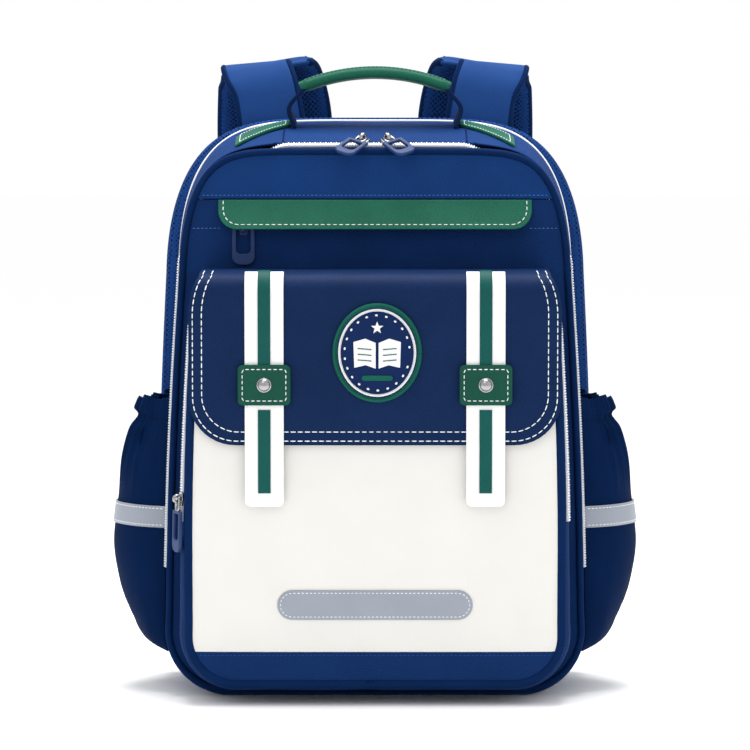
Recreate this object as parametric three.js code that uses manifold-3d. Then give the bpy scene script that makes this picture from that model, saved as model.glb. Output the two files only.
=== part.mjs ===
// A child's school backpack that stands on its base: a zipped main bag, a zipped box pocket under a
// strapped flap, two gathered side pockets, a carrying handle and two padded shoulder straps.
// Millimetres, +Z up. The front faces -Y, and the origin is on the floor, in the middle of the base.
import * as THREE from "three";
import Module from "manifold-3d";
import { mergeVertices } from "three/addons/utils/BufferGeometryUtils.js";

const wasm = await Module();
wasm.setup();

const { lerp, clamp, smoothstep, degToRad } = THREE.MathUtils;
const table = (columns, rows) =>
  rows.map((row) => Object.fromEntries(row.map((value, i) => [columns[i], value])));

// Driving dimensions

const GAP = 0.4; // kept between neighbouring pieces
const CLOTH = 2; // wall of the main cloth
const LEATHER = 1.8; // wall of the leather trims

// Outlines seen from the front, at shares of the way from a form's front seam (0) to its back seam (1).
//   yLow, yTop: depth at the floor and at the crown
//   halfLow, halfHigh: half width at the foot of the sides and at the shoulder
//   low, top, shoulder: heights of the underside, of the crown and of the foot of the shoulder
//   side, crown: exponents of the shoulder's curve; corner: radius of the lower corners
const SECTION = [
  "share", "yLow", "yTop", "halfLow", "halfHigh", "low", "top", "shoulder", "side", "crown", "corner",
];
const BODY = table(SECTION, [
  [0.0, -42, -22, 148, 138.5, 4.5, 390.5, 300, 8, 2.35, 43],
  [0.12, -35, -15.5, 149.8, 139.8, 0, 396, 300, 7, 2.35, 46],
  [0.5, 8, 20, 151, 143, 0, 405.5, 300, 6, 2.4, 48],
  [0.88, 46, 48, 150.5, 144.5, 0, 411, 300, 5, 2.45, 48],
  [1.0, 57, 57, 149.5, 144.3, 1.5, 412, 300, 5, 2.45, 48],
]);
const BOX = table(SECTION, [
  [0.0, -81.5, -81.5, 131, 126.5, 15.5, 296, 262, 10, 2, 34],
  [0.22, -74, -74, 137, 130.5, 10, 299, 262, 10, 2, 39],
  [1.0, -43.6, -28.4, 139, 134, 7, 299.5, 262, 10, 2, 42],
]);
const BACK = table(SECTION, [[0.0, 58, 58, 161, 154.5, 0, 414, 300, 5, 2.2, 52]])[0];
const HALF_LOW_Z = 60;
const SIDE_BOW = 1.8; // how far the long sides bow outwards
const MAIN_ZIP_END_Z = 92;
const FRONT_ZIP_END_Z = 130;
const FRONT_ZIP_FOOT = 8; // from the notch in the pocket's gusset up to the foot of its zip

// Steps of an outline from the middle of its underside to the middle of its crown.
const STEPS = { base: 2, corner: 5, toMainZip: 1, toFrontZip: 1, zipFoot: 1, toShoulder: 3, shoulder: 12 };

// Places across the gussets, as shares of their depth
const MAIN_ZIP = { from: 0.07, to: 0.128 };
const FRONT_ZIP = { from: 0.13, to: 0.25 };
const SHARE_GAP = 0.012;
const GUSSET_BACK = 0.955;
const BOX_BACK = 0.985;
const PIPING = { share: 0.984, radius: 1.5, sides: 5 };
const EDGE_ROLL = { radius: 3.2, sides: 6 };
const POCKET_ROLL = { radius: 3.5, sides: 6 };

// The padded back panel's edge: how far it is drawn in from the outline at each depth
const BACK_EDGE = table(["inset", "y"], [
  [12, 57.4],
  [3, 59.2],
  [0, 64],
  [0, 67.5],
  [4, 72.5],
  [12, 75],
]);
const BACK_FACE = 75;

const PANEL = { split: 356, fold: 1 };
const COVER = { half: 112, low: 334.5, high: 355, corner: 9, lift: 8.6 };
const FACE = { y: -85, bandTop: 38.5 };
const FLAP = { half: 130.5, low: 185, bend: 292, radius: 13, bendDeg: 88, y: -91.5, lipY: -89.8, wall: 2.4 };
const FLAP_TRIM = { corner: 33, edgeTurn: 14, edgeDrop: 2, steps: 5, edgeSteps: 7 };
const PLATE_RINGS = { coarse: [1], fine: [0.6, 1] }; // shares of the way out from a plate's middle
const CORNER_STEPS = 4; // steps round a rounded corner of a plate
const PLATE_EDGE = { cover: 8, reflector: 6 }; // steps along a plate's long edges
const BAND_ROWS = { gusset: 4, base: 5, pocket: 3, zip: 1 };
const CURVE_STEPS = 240; // fine steps that a shoulder's curve is measured in
const NORMAL_STEP = { height: 1, share: 0.01 };
const STRIP = { x: 77.4, half: 13.6, wall: 1.6, high: 309, split: 228, low: 142, corner: 3 };
const STRIPE = { half: 4.4, wall: 1, upperLow: 243, lowerHigh: 210, lowerLow: 151.5 };
const KEEPER = { half: 18.4, low: 213.3, high: 241.7, corner: 3.5 };
const STUD = { radius: 5.2, height: 3, rings: 3, sides: 12 };
const BADGE = { x: 1.5, z: 250, halfWidth: 31, halfHeight: 34.5, wall: 1.6, steps: 24 };
const REFLECTOR = { half: 68.6, z: 72, halfHeight: 10.5, wall: 1 };

const SIDE_POCKET = { from: 0.17, to: 0.93, hem: 197, fold: 1.7, folds: 7, gather: 34, columns: 21 };
const SIDE_PROFILE = table(["z", "bulge"], [
  [27, 0.5],
  [34, 15],
  [47, 24.5],
  [61.5, 30.5],
  [78, 35],
  [106, 37.5],
  [135, 36.5],
  [164, 34],
  [187, 30],
  [197, 23],
  [208, 25],
]);
const SIDE_ROUND = 0.5; // exponent of the pocket's roundness across
const SIDE_SEAM = { lift: 0.9, across: 0.1, rise: 20 }; // how the pocket's edges come down to the gusset
const SIDE_BAND = { low: 119.5, high: 135, wall: 1 };

const HANDLE = { y: 34, half: 54.5, endZ: 436, topZ: 447, depth: 26, height: 9.4, sides: 10, steps: 12 };
const HANDLE_WEB = { wall: 3, lead: 1.8, footX: 60, bow: 4, steps: 8, frontShare: 0.54, backShare: 0.84 };
const HANDLE_TAB = table(["x", "from", "to"], [
  [62, 0.63, 0.92],
  [74, 0.48, 0.8],
  [87, 0.31, 0.62],
  [100, 0.16, 0.43],
]);

const PULL = { width: 16.2, wall: 2.6, bar: 2.4, rim: 3, foot: 9, corner: 6, holeCorner: 3, segments: 4 };
const SLIDER = { length: 10, width: 7.4, base: 1.5, arch: 3.7, archWall: 1.1, archWidth: 3.2 };
const TOP_SLIDER = { x: 9, share: 0.1, rise: 1.2, length: 28, slope: -0.55, forward: -0.87, outward: 0.5 };
const SIDE_SLIDER = { z: 146, share: 0.19, stand: 0.1, length: 39 };
const POCKET_SLIDER = { x: -94, z: 335, length: 27.5 };

// Paths of the right-hand shoulder strap; x is mirrored for the left one
const STRAP = ["x", "y", "z", "width"];
const STRAP_ROOT = table(STRAP, [
  [74, 75.6, 352, 48],
  [76, 75.8, 400, 49],
  [81, 81, 434, 48],
  [86, 90, 450, 47.5],
  [87.5, 99, 454.5, 47],
]);
const STRAP_PAD = table(STRAP, [
  [83, 103, 459.6, 70],
  [82.5, 114, 459, 71],
  [79, 127, 444, 78],
  [76, 135, 408, 85],
  [77, 139, 350, 82],
  [82, 138, 285, 74],
  [91, 131, 225, 64],
  [99, 120, 178, 54],
]);
const STRAP_WALLS = { root: 4, pad: 10, rootAcross: 2, padAcross: 4, steps: 2 };
const BUCKLE = { half: 18, length: 26, corner: 4, slotHalf: 13.5, slotEdge: 4, slotHeight: 5, wall: 4 };
const WEB = { width: 25, wall: 2, footX: 126, footY: 77.8, footZ: 46.5, sag: 3 };
const FOOT_TAB = { x: 128, low: 17, high: 41, halfLow: 22, halfHigh: 15, wall: 2.4 };

// Materials

const look = (color, roughness, metalness = 0) =>
  new THREE.MeshStandardMaterial({ color, roughness, metalness });
const NAVY_CLOTH = () => look(0x14376d, 0.75);
const NAVY_FLAP = () => look(0x162d5c, 0.5);
const NAVY_MESH = () => look(0x0b2855, 0.9);
const NAVY_RUBBER = () => look(0x3a4f7d, 0.55);
const NAVY_WEB = () => look(0x0f2a58, 0.8);
const GREEN_LEATHER = () => look(0x2f7560, 0.55);
const GREEN_TAPE = () => look(0x1c5e57, 0.6);
const WHITE_CLOTH = () => look(0xf4f2ef, 0.6);
const WHITE_ZIP = () => look(0xeceef2, 0.5);
const GREY_REFLECTIVE = () => look(0xa5abb8, 0.45);
const STEEL = () => look(0xd9d9d6, 0.2, 1);

const bag = new THREE.Group();

function add(name, geometry, material) {
  const mesh = new THREE.Mesh(geometry, material());
  mesh.name = name;
  bag.add(mesh);
  return mesh;
}

const SIDES = table(["side", "sign"], [["left", -1], ["right", 1]]);
const shares = (count) => Array.from({ length: count + 1 }, (_, k) => k / count);

// Surfaces and solids

// An open surface over rows of points. Its outside is the way that the rows' direction crossed with the
// columns' direction points.
function gridSurface(rows, closed = false) {
  const columns = rows[0].length;
  const faces = [];
  for (let r = 0; r < rows.length - (closed ? 0 : 1); r++) {
    for (let c = 0; c < columns - (closed ? 0 : 1); c++) {
      const r1 = (r + 1) % rows.length;
      const c1 = (c + 1) % columns;
      const a = r * columns + c;
      const b = r1 * columns + c;
      faces.push([a, b, r * columns + c1], [b, r1 * columns + c1, r * columns + c1]);
    }
  }
  return { points: rows.flat(), faces };
}

// A surface over a convex outline of x and z, in rings drawn in towards its middle. place gives the points.
function discSurface(outline, rings, place) {
  const count = outline.length;
  const sum = (axis) => outline.reduce((total, p) => total + p[axis], 0) / count;
  const middle = { x: sum("x"), z: sum("z") };
  const points = [place(middle.x, middle.z)];
  const faces = [];
  rings.forEach((share, ring) => {
    const outer = points.length;
    const inner = outer - count;
    for (const p of outline) points.push(place(lerp(middle.x, p.x, share), lerp(middle.z, p.z, share)));
    for (let i = 0; i < count; i++) {
      const next = (i + 1) % count;
      if (ring === 0) faces.push([0, outer + i, outer + next]);
      else faces.push([inner + i, outer + i, outer + next], [inner + i, outer + next, inner + next]);
    }
  });
  return { points, faces };
}

function surfaceNormals({ points, faces }) {
  const normals = points.map(() => new THREE.Vector3());
  for (const [a, b, c] of faces) {
    const n = points[b].clone().sub(points[a]).cross(points[c].clone().sub(points[a]));
    for (const i of [a, b, c]) normals[i].add(n);
  }
  return normals.map((n) => n.normalize());
}

function toGeometry({ points, faces }) {
  return new THREE.BufferGeometry().setFromPoints(points).setIndex(faces.flat());
}

// A wall of one thickness behind an open surface.
function thicken(surface, wall) {
  const { points, faces } = surface;
  const normals = surfaceNormals(surface);
  const count = points.length;
  const inside = points.map((p, i) => p.clone().addScaledVector(normals[i], -wall));
  const edges = new Set(faces.flatMap(([a, b, c]) => [`${a} ${b}`, `${b} ${c}`, `${c} ${a}`]));
  const rim = [];
  for (const edge of edges) {
    const [a, b] = edge.split(" ").map(Number);
    if (!edges.has(`${b} ${a}`)) rim.push([b, a, a + count], [b, a + count, b + count]);
  }
  const back = faces.map(([a, b, c]) => [a + count, c + count, b + count]);
  return toGeometry({ points: [...points, ...inside], faces: [...faces, ...back, ...rim] });
}

const turned = ({ points, faces }) => ({ points, faces: faces.map(([a, b, c]) => [a, c, b]) });
const plate = (outline, rings, place, wall) => thicken(discSurface(outline, rings, place), wall);
const toShape = (Kind, corners) => new Kind(corners.map(([x, y]) => new THREE.Vector2(x, y)));

function toSolid(geometry) {
  const bare = geometry.clone();
  bare.deleteAttribute("normal");
  bare.deleteAttribute("uv");
  const merged = mergeVertices(bare);
  const triVerts = new Uint32Array(merged.index.array);
  const vertProperties = merged.attributes.position.array;
  return new wasm.Manifold(new wasm.Mesh({ numProp: 3, vertProperties, triVerts }));
}

function fromSolid(solid) {
  const mesh = solid.getMesh();
  const geometry = new THREE.BufferGeometry();
  geometry.setAttribute("position", new THREE.BufferAttribute(new Float32Array(mesh.vertProperties), 3));
  return geometry.setIndex(new THREE.BufferAttribute(mesh.triVerts, 1));
}

// Outlines of the forms

// A row between two rows of a form's table, on a smooth curve through them.
function sectionAt(form, share) {
  const last = form.length - 1;
  const at = clamp(form.filter((row) => row.share <= share).length - 1, 0, last - 1);
  const from = form[at];
  const to = form[at + 1];
  const span = to.share - from.share;
  const t = (share - from.share) / span;
  const slope = (k, column) => {
    const before = form[Math.max(k - 1, 0)];
    const after = form[Math.min(k + 1, last)];
    return (after[column] - before[column]) / (after.share - before.share);
  };
  const section = {};
  for (const column of SECTION) {
    const bend = t * (1 - t) * ((1 - t) * slope(at, column) - t * slope(at + 1, column)) * span;
    section[column] = lerp(from[column], to[column], t * t * (3 - 2 * t)) + bend;
  }
  section.low = Math.max(section.low, 0);
  return section;
}

function halfWidth(section, z) {
  const t = (z - HALF_LOW_Z) / (section.shoulder - HALF_LOW_Z);
  return lerp(section.halfLow, section.halfHigh, t) + SIDE_BOW * Math.sin(Math.PI * clamp(t, 0, 1));
}

// The shoulder and crown: a rounded curve from the side to the middle of the top, in steps of equal length.
function shoulderCurve(section, steps) {
  const fine = shares(CURVE_STEPS).map((t) => {
    const angle = t * (Math.PI / 2);
    const z = lerp(section.shoulder, section.top, Math.sin(angle) ** (2 / section.crown));
    const across = t < 1 ? Math.cos(angle) ** (2 / section.side) : 0;
    return new THREE.Vector2(halfWidth(section, z) * across, z);
  });
  const path = new THREE.CurvePath();
  fine.slice(1).forEach((p, k) => path.add(new THREE.LineCurve(fine[k], p)));
  return shares(steps).slice(1).map((t) => path.getPointAt(t));
}

// Half an outline, from the middle of the underside up the right side to the middle of the crown.
function halfOutline(section) {
  const { low, corner, shoulder } = section;
  const elbow = low + corner;
  const wide = halfWidth(section, elbow);
  const points = [new THREE.Vector2(0, low)];
  const line = (x, z, steps) => {
    const from = points.at(-1);
    for (const t of shares(steps).slice(1)) points.push(from.clone().lerp(new THREE.Vector2(x, z), t));
  };
  const side = (from, to, steps) => {
    for (const t of shares(steps).slice(1)) {
      const z = lerp(from, to, t);
      points.push(new THREE.Vector2(halfWidth(section, z), z));
    }
  };
  line(wide - corner, low, STEPS.base);
  for (const t of shares(STEPS.corner).slice(1)) {
    const angle = t * (Math.PI / 2);
    const x = wide - corner + corner * Math.sin(angle);
    points.push(new THREE.Vector2(x, elbow - corner * Math.cos(angle)));
  }
  side(elbow, MAIN_ZIP_END_Z, STEPS.toMainZip);
  side(MAIN_ZIP_END_Z, FRONT_ZIP_END_Z, STEPS.toFrontZip);
  side(FRONT_ZIP_END_Z, FRONT_ZIP_END_Z + FRONT_ZIP_FOOT, STEPS.zipFoot);
  side(FRONT_ZIP_END_Z + FRONT_ZIP_FOOT, shoulder, STEPS.toShoulder);
  return [...points, ...shoulderCurve(section, STEPS.shoulder)];
}

const MAIN_ZIP_STEP = STEPS.base + STEPS.corner + STEPS.toMainZip;
const FRONT_ZIP_STEP = MAIN_ZIP_STEP + STEPS.toFrontZip;
const CROWN_STEP = FRONT_ZIP_STEP + STEPS.zipFoot + STEPS.toShoulder + STEPS.shoulder;
const RING = 2 * CROWN_STEP;

const depthAt = (section, z) => lerp(section.yLow, section.yTop, z / section.top);

// A whole outline as points in space, anticlockwise seen from the front.
function sectionRing(section) {
  const half = halfOutline(section);
  const place = (sign) => (p) => new THREE.Vector3(sign * p.x, depthAt(section, p.y), p.y);
  return [...half.map(place(1)), ...half.slice(1, -1).reverse().map(place(-1))];
}

const ring = (form, share) => sectionRing(sectionAt(form, share));

// An outline drawn in by a distance, seen from the front; y is kept.
function inset(points, distance) {
  return points.map((p, i) => {
    const before = points.at(i - 1);
    const after = points[(i + 1) % points.length];
    const out = new THREE.Vector3(after.z - before.z, 0, before.x - after.x).normalize();
    return p.clone().addScaledVector(out, -distance);
  });
}

// The part of an outline on one side of a level.
function clip(outline, level, keepAbove) {
  const kept = (p) => (keepAbove ? p.z >= level : p.z <= level);
  return outline.flatMap((p, i) => {
    const next = outline[(i + 1) % outline.length];
    const cut = { x: lerp(p.x, next.x, (level - p.z) / (next.z - p.z)), z: level };
    return [...(kept(p) ? [p] : []), ...(kept(p) !== kept(next) ? [cut] : [])];
  });
}

// A rounded rectangle, anticlockwise seen from the front, with radii for its lower and upper corners.
function roundedOutline({ x = 0, half, low, high, lowRadius = 0, highRadius = 0, edgeSteps = 1 }) {
  const corners = table(["x", "z", "out", "up", "radius", "turn"], [
    [x + half, low, 1, -1, lowRadius, -90],
    [x + half, high, 1, 1, highRadius, 0],
    [x - half, high, -1, 1, highRadius, 90],
    [x - half, low, -1, -1, lowRadius, 180],
  ]);
  const points = corners.flatMap((corner) =>
    shares(corner.radius > 0 ? CORNER_STEPS : 1).slice(corner.radius > 0 ? 0 : 1).map((t) => {
      const angle = degToRad(corner.turn + 90 * t);
      return {
        x: corner.x - corner.out * corner.radius + corner.radius * Math.cos(angle),
        z: corner.z - corner.up * corner.radius + corner.radius * Math.sin(angle),
      };
    }),
  );
  const long = Math.min(half, (high - low) / 2);
  return points.flatMap((p, i) => {
    const next = points[(i + 1) % points.length];
    const count = Math.hypot(next.x - p.x, next.z - p.z) > long ? edgeSteps : 1;
    return shares(count).slice(0, -1).map((t) => ({ x: lerp(p.x, next.x, t), z: lerp(p.z, next.z, t) }));
  });
}

// A closed tube round a whole outline.
function ringTube(points, radius, sides) {
  const outward = inset(points, -1);
  const rows = shares(sides).slice(0, -1).map((t) => {
    const angle = t * 2 * Math.PI;
    return points.map((p, i) => {
      const out = outward[i].clone().sub(p).multiplyScalar(radius * Math.cos(angle));
      return p.clone().add(out).add(new THREE.Vector3(0, radius * Math.sin(angle), 0));
    });
  });
  return toGeometry(gridSurface(rows, true));
}

// Gussets and zips: bands of a form's side between two depths, over some steps of its outline

function band(form, { fromStep, toStep, rows, from, to }) {
  const grid = shares(rows).map((t) => {
    const points = ring(form, lerp(from, to, t));
    return Array.from({ length: toStep - fromStep + 1 }, (_, i) => points.at((fromStep + i) % RING));
  });
  return thicken(gridSurface(grid), CLOTH);
}

// A band that runs right round its form, with a notch in its front edge for a zip.
function ringBand(form, { rows, from, to, notch }) {
  const notched = ring(form, notch.share);
  const cut = (i) => i > notch.step && i < RING - notch.step;
  const grid = shares(rows).map((t) => {
    const points = ring(form, lerp(from, to, t));
    return t > 0 ? points : points.map((p, i) => (cut(i) ? notched[i] : p));
  });
  return thicken(closedColumns(gridSurface(grid), rows), CLOTH);
}

// A surface whose rows are whole outlines, with its last column joined to its first.
function closedColumns({ points, faces }, rows) {
  const joined = [...faces];
  for (let r = 0; r < rows; r++) {
    const first = r * RING;
    const last = first + RING - 1;
    joined.push([last, last + RING, first], [last + RING, first + RING, first]);
  }
  return { points, faces: joined };
}

const MAIN_ARCH = { fromStep: MAIN_ZIP_STEP, toStep: RING - MAIN_ZIP_STEP };
const FRONT_FOOT_STEP = FRONT_ZIP_STEP + STEPS.zipFoot;
const FRONT_ARCH = { fromStep: FRONT_FOOT_STEP, toStep: RING - FRONT_FOOT_STEP };
const UNDERSIDE = { fromStep: -MAIN_ZIP_STEP, toStep: MAIN_ZIP_STEP };

function backPanelGeometry() {
  const outline = sectionRing(BACK);
  const grid = BACK_EDGE.map((edge) => inset(outline, edge.inset).map((p) => p.setY(edge.y)));
  const { points, faces } = closedColumns(gridSurface(grid), BACK_EDGE.length - 1);
  const last = points.length - RING;
  for (let i = 1; i < RING - 1; i++) faces.push([0, i, i + 1], [last, last + i + 1, last + i]);
  return toGeometry({ points, faces });
}

function addMainBag() {
  const gusset = { ...MAIN_ARCH, rows: BAND_ROWS.gusset, from: MAIN_ZIP.to + SHARE_GAP, to: GUSSET_BACK };
  add("main_gusset", band(BODY, gusset), NAVY_CLOTH);
  add("main_zip", band(BODY, { ...MAIN_ARCH, rows: BAND_ROWS.zip, ...MAIN_ZIP }), WHITE_ZIP);
  const under = ring(BODY, GUSSET_BACK)[MAIN_ZIP_STEP].z - GAP;
  const base = band(BODY, { ...UNDERSIDE, rows: BAND_ROWS.base, from: MAIN_ZIP.from, to: GUSSET_BACK });
  add("base_gusset", loweredRim(base, under), NAVY_CLOTH);
  add("edge_roll", ringTube(ring(BODY, 0), EDGE_ROLL.radius, EDGE_ROLL.sides), NAVY_CLOTH);
  add("back_piping", ringTube(ring(BODY, PIPING.share), PIPING.radius, PIPING.sides), WHITE_CLOTH);
  add("back_panel", backPanelGeometry(), NAVY_MESH);
}

// A wall cut level below the piece above it.
function loweredRim(geometry, level) {
  const position = geometry.attributes.position;
  for (let i = 0; i < position.count; i++) position.setZ(i, Math.min(position.getZ(i), level));
  return geometry;
}

// Main front panel

const PANEL_OUTLINE = inset(ring(BODY, 0), EDGE_ROLL.radius + GAP);
const panelFace = (z) => depthAt(BODY[0], z);
const onPanel = (stand) => (x, z) => new THREE.Vector3(x, panelFace(z) - stand, z);

function addFrontPanel() {
  const rings = PLATE_RINGS.fine;
  const lower = clip(PANEL_OUTLINE, PANEL.split - GAP, false);
  add("main_front_panel", plate(lower, rings, onPanel(0), CLOTH), NAVY_CLOTH);
  const upper = clip(PANEL_OUTLINE, PANEL.split, true);
  add("top_panel", plate(upper, rings, onPanel(PANEL.fold), CLOTH), NAVY_CLOTH);
  const { half, low, high, corner, lift } = COVER;
  const outline = roundedOutline({ half, low, high, lowRadius: corner, edgeSteps: PLATE_EDGE.cover });
  const lifted = (x, z) => onPanel(LEATHER + GAP + (lift * (high - z)) / (high - low))(x, z);
  add("zip_cover", plate(outline, rings, lifted, LEATHER), GREEN_LEATHER);
}

// Box pocket

const FACE_OUTLINE = inset(ring(BOX, 0), POCKET_ROLL.radius - GAP);
const onFace = (stand) => (x, z) => new THREE.Vector3(x, FACE.y - stand, z);

function addBoxPocket() {
  const notch = { step: FRONT_ZIP_STEP, share: FRONT_ZIP.to + SHARE_GAP };
  const walls = { rows: BAND_ROWS.pocket, from: FRONT_ZIP.from, to: BOX_BACK, notch };
  add("pocket_gusset", ringBand(BOX, walls), NAVY_CLOTH);
  const zip = { ...FRONT_ARCH, rows: BAND_ROWS.zip, from: FRONT_ZIP.from, to: FRONT_ZIP.to - SHARE_GAP };
  add("front_zip", band(BOX, zip), WHITE_ZIP);
  add("pocket_roll", ringTube(ring(BOX, 0), POCKET_ROLL.radius, POCKET_ROLL.sides), NAVY_CLOTH);
  const rings = PLATE_RINGS.fine;
  const upper = clip(FACE_OUTLINE, FACE.bandTop + GAP, true);
  add("pocket_face", plate(upper, rings, onFace(0), CLOTH), WHITE_CLOTH);
  const lower = clip(FACE_OUTLINE, FACE.bandTop, false);
  add("pocket_band", plate(lower, rings, onFace(0), CLOTH), NAVY_CLOTH);
  const { half, z, halfHeight: radius, wall } = REFLECTOR;
  const ends = { low: z - radius, high: z + radius, lowRadius: radius, highRadius: radius };
  const capsule = roundedOutline({ half, ...ends, edgeSteps: PLATE_EDGE.reflector });
  add("front_reflector", plate(capsule, PLATE_RINGS.coarse, onFace(wall + GAP), wall), GREY_REFLECTIVE);
}

// Flap: its length s is the height on the front, then runs on over the bend and back to the main panel

const FLAP_ARC = FLAP.radius * degToRad(FLAP.bendDeg);
const FLAP_END_Y = panelFace(FLAP.bend + FLAP.radius) - FLAP_TRIM.edgeDrop - 2 * GAP;

// A point that stands off the flap's outer face.
function flapPlace(x, s, stand) {
  const edge = clamp(1 - (FLAP.half - Math.abs(x)) / FLAP_TRIM.edgeTurn, 0, 1);
  const front = lerp(FLAP.lipY, FLAP.y, clamp((s - FLAP.low) / (FLAP.bend - FLAP.low), 0, 1));
  const y = front + FLAP_TRIM.edgeDrop * edge * edge;
  if (s <= FLAP.bend) return new THREE.Vector3(x, y - stand, s);
  const angle = Math.min(s - FLAP.bend, FLAP_ARC) / FLAP.radius;
  const onward = Math.max(s - FLAP.bend - FLAP_ARC, 0);
  const reach = FLAP.radius + stand;
  const back = y + FLAP.radius - reach * Math.cos(angle) + onward * Math.sin(angle);
  return new THREE.Vector3(x, back, FLAP.bend + reach * Math.sin(angle) + onward * Math.cos(angle));
}

function addFlap() {
  const bendEnd = FLAP.bend + FLAP_ARC;
  const start = flapPlace(0, bendEnd, 0);
  const high = bendEnd + (FLAP_END_Y - start.y) / Math.sin(degToRad(FLAP.bendDeg));
  const corner = shares(FLAP_TRIM.steps).slice(0, -1).map((t) => ({
    half: FLAP.half - FLAP_TRIM.corner * (1 - Math.sin(degToRad(90 * t))),
    s: FLAP.low + FLAP_TRIM.corner * (1 - Math.cos(degToRad(90 * t))),
  }));
  const front = shares(FLAP_TRIM.edgeSteps).map((t) => lerp(FLAP.low + FLAP_TRIM.corner, FLAP.bend, t));
  const bend = shares(FLAP_TRIM.steps).slice(1).map((t) => lerp(FLAP.bend, bendEnd, t));
  const lines = [...corner, ...[...front, ...bend, high].map((s) => ({ half: FLAP.half, s }))];
  const across = shares(FLAP_TRIM.edgeSteps + 1);
  const grid = lines.map(({ half, s }) => across.map((t) => flapPlace(lerp(half, -half, t), s, 0)));
  add("flap", thicken(gridSurface(grid), FLAP.wall), NAVY_FLAP);
  const badge = shares(BADGE.steps).slice(1).map((t) => ({
    x: BADGE.x + BADGE.halfWidth * Math.cos(2 * Math.PI * t),
    z: BADGE.z + BADGE.halfHeight * Math.sin(2 * Math.PI * t),
  }));
  const onFlap = (x, s) => flapPlace(x, s, BADGE.wall + GAP);
  add("badge", plate(badge, PLATE_RINGS.coarse, onFlap, BADGE.wall), GREEN_TAPE);
}

// A flat bar on the flap: rows across it from its lower to its upper edge, narrowed by its cut corners.
function stripGeometry({ x, half, low, high, lowCorner, highCorner, stand, wall }) {
  const levels = [low, low + lowCorner, high - highCorner, high, FLAP.bend];
  const bends = shares(FLAP_TRIM.steps).map((t) => FLAP.bend + t * FLAP_ARC);
  const within = [...levels, ...bends].filter((s) => s >= low && s <= high);
  const rows = [...new Set(within)].sort((a, b) => a - b);
  const grid = rows.map((s) => {
    const cut = Math.max(low + lowCorner - s, s - high + highCorner, 0);
    return [half - cut, cut - half].map((offset) => flapPlace(x + offset, s, stand));
  });
  return thicken(gridSurface(grid), wall);
}

function addStrips() {
  const stripStand = STRIP.wall + GAP;
  const stripeStand = stripStand + STRIPE.wall + GAP;
  const keeperStand = stripStand + LEATHER + GAP;
  const studZ = (KEEPER.low + KEEPER.high) / 2;
  const white = { half: STRIP.half, stand: stripStand, wall: STRIP.wall, material: WHITE_CLOTH };
  const green = { half: STRIPE.half, stand: stripeStand, wall: STRIPE.wall, material: GREEN_TAPE };
  const leather = { half: KEEPER.half, stand: keeperStand, wall: LEATHER, material: GREEN_LEATHER };
  const bars = table(["name", "kind", "low", "high", "lowCorner", "highCorner"], [
    ["strip_upper", white, STRIP.split + GAP, STRIP.high, 0, 0],
    ["strip_lower", white, STRIP.low, STRIP.split, STRIP.corner, 0],
    ["stripe_upper", green, STRIPE.upperLow, STRIP.high, 0, 0],
    ["stripe_lower", green, STRIPE.lowerLow, STRIPE.lowerHigh, 0, 0],
    ["keeper", leather, KEEPER.low, KEEPER.high, KEEPER.corner, KEEPER.corner],
  ]);
  const dome = shares(STUD.rings).map((t) => {
    const angle = t * (Math.PI / 2);
    return new THREE.Vector2(t < 1 ? STUD.radius * Math.cos(angle) : 0, STUD.height * Math.sin(angle));
  });
  for (const { side, sign } of SIDES) {
    const x = sign * STRIP.x;
    for (const { name, kind, ...bar } of bars) {
      add(`${name}_${side}`, stripGeometry({ x, ...kind, ...bar }), kind.material);
    }
    const stud = new THREE.LatheGeometry([new THREE.Vector2(0, 0), ...dome], STUD.sides).rotateX(Math.PI);
    const seat = flapPlace(x, studZ, keeperStand + GAP);
    add(`stud_${side}`, stud.translate(seat.x, seat.y, seat.z), STEEL);
  }
}

// Side pockets: cloth that stands off the main gusset, gathered by a hem below its mouth

// A point on the right-hand gusset of a form, up to the foot of its shoulder.
function gussetPoint(form, height, share) {
  const section = sectionAt(form, share);
  const elbow = section.low + section.corner;
  const below = clamp((elbow - height) / section.corner, 0, 1);
  const drawn = section.corner * (1 - Math.sqrt(1 - below * below));
  const x = halfWidth(section, Math.max(height, elbow)) - drawn;
  return new THREE.Vector3(x, depthAt(section, height), height);
}

function gussetNormal(form, height, share) {
  const up = NORMAL_STEP.height;
  const on = NORMAL_STEP.share;
  const along = gussetPoint(form, height + up, share).sub(gussetPoint(form, height - up, share));
  const back = gussetPoint(form, height, share + on).sub(gussetPoint(form, height, share - on));
  return back.cross(along).normalize();
}

function sideBulge(height, across) {
  const at = clamp(SIDE_PROFILE.filter((row) => row.z <= height).length - 1, 0, SIDE_PROFILE.length - 2);
  const from = SIDE_PROFILE[at];
  const to = SIDE_PROFILE[at + 1];
  const depth = lerp(from.bulge, to.bulge, (height - from.z) / (to.z - from.z));
  const gathered = smoothstep(height, SIDE_POCKET.hem - SIDE_POCKET.gather, SIDE_POCKET.hem);
  const fold = SIDE_POCKET.fold * gathered * Math.cos(2 * Math.PI * SIDE_POCKET.folds * across);
  return (depth + fold) * Math.sin(Math.PI * across) ** SIDE_ROUND;
}

// How far the pocket's outer face stands off the gusset before it bulges.
function sideLift(height, across) {
  const fromEdge = smoothstep(Math.min(across, 1 - across), 0, SIDE_SEAM.across);
  const fromFoot = clamp(1 - (height - SIDE_PROFILE[0].z) / SIDE_SEAM.rise, 0, 1);
  return lerp(SIDE_SEAM.lift, CLOTH + GAP, Math.max(fromEdge, fromFoot));
}

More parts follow.
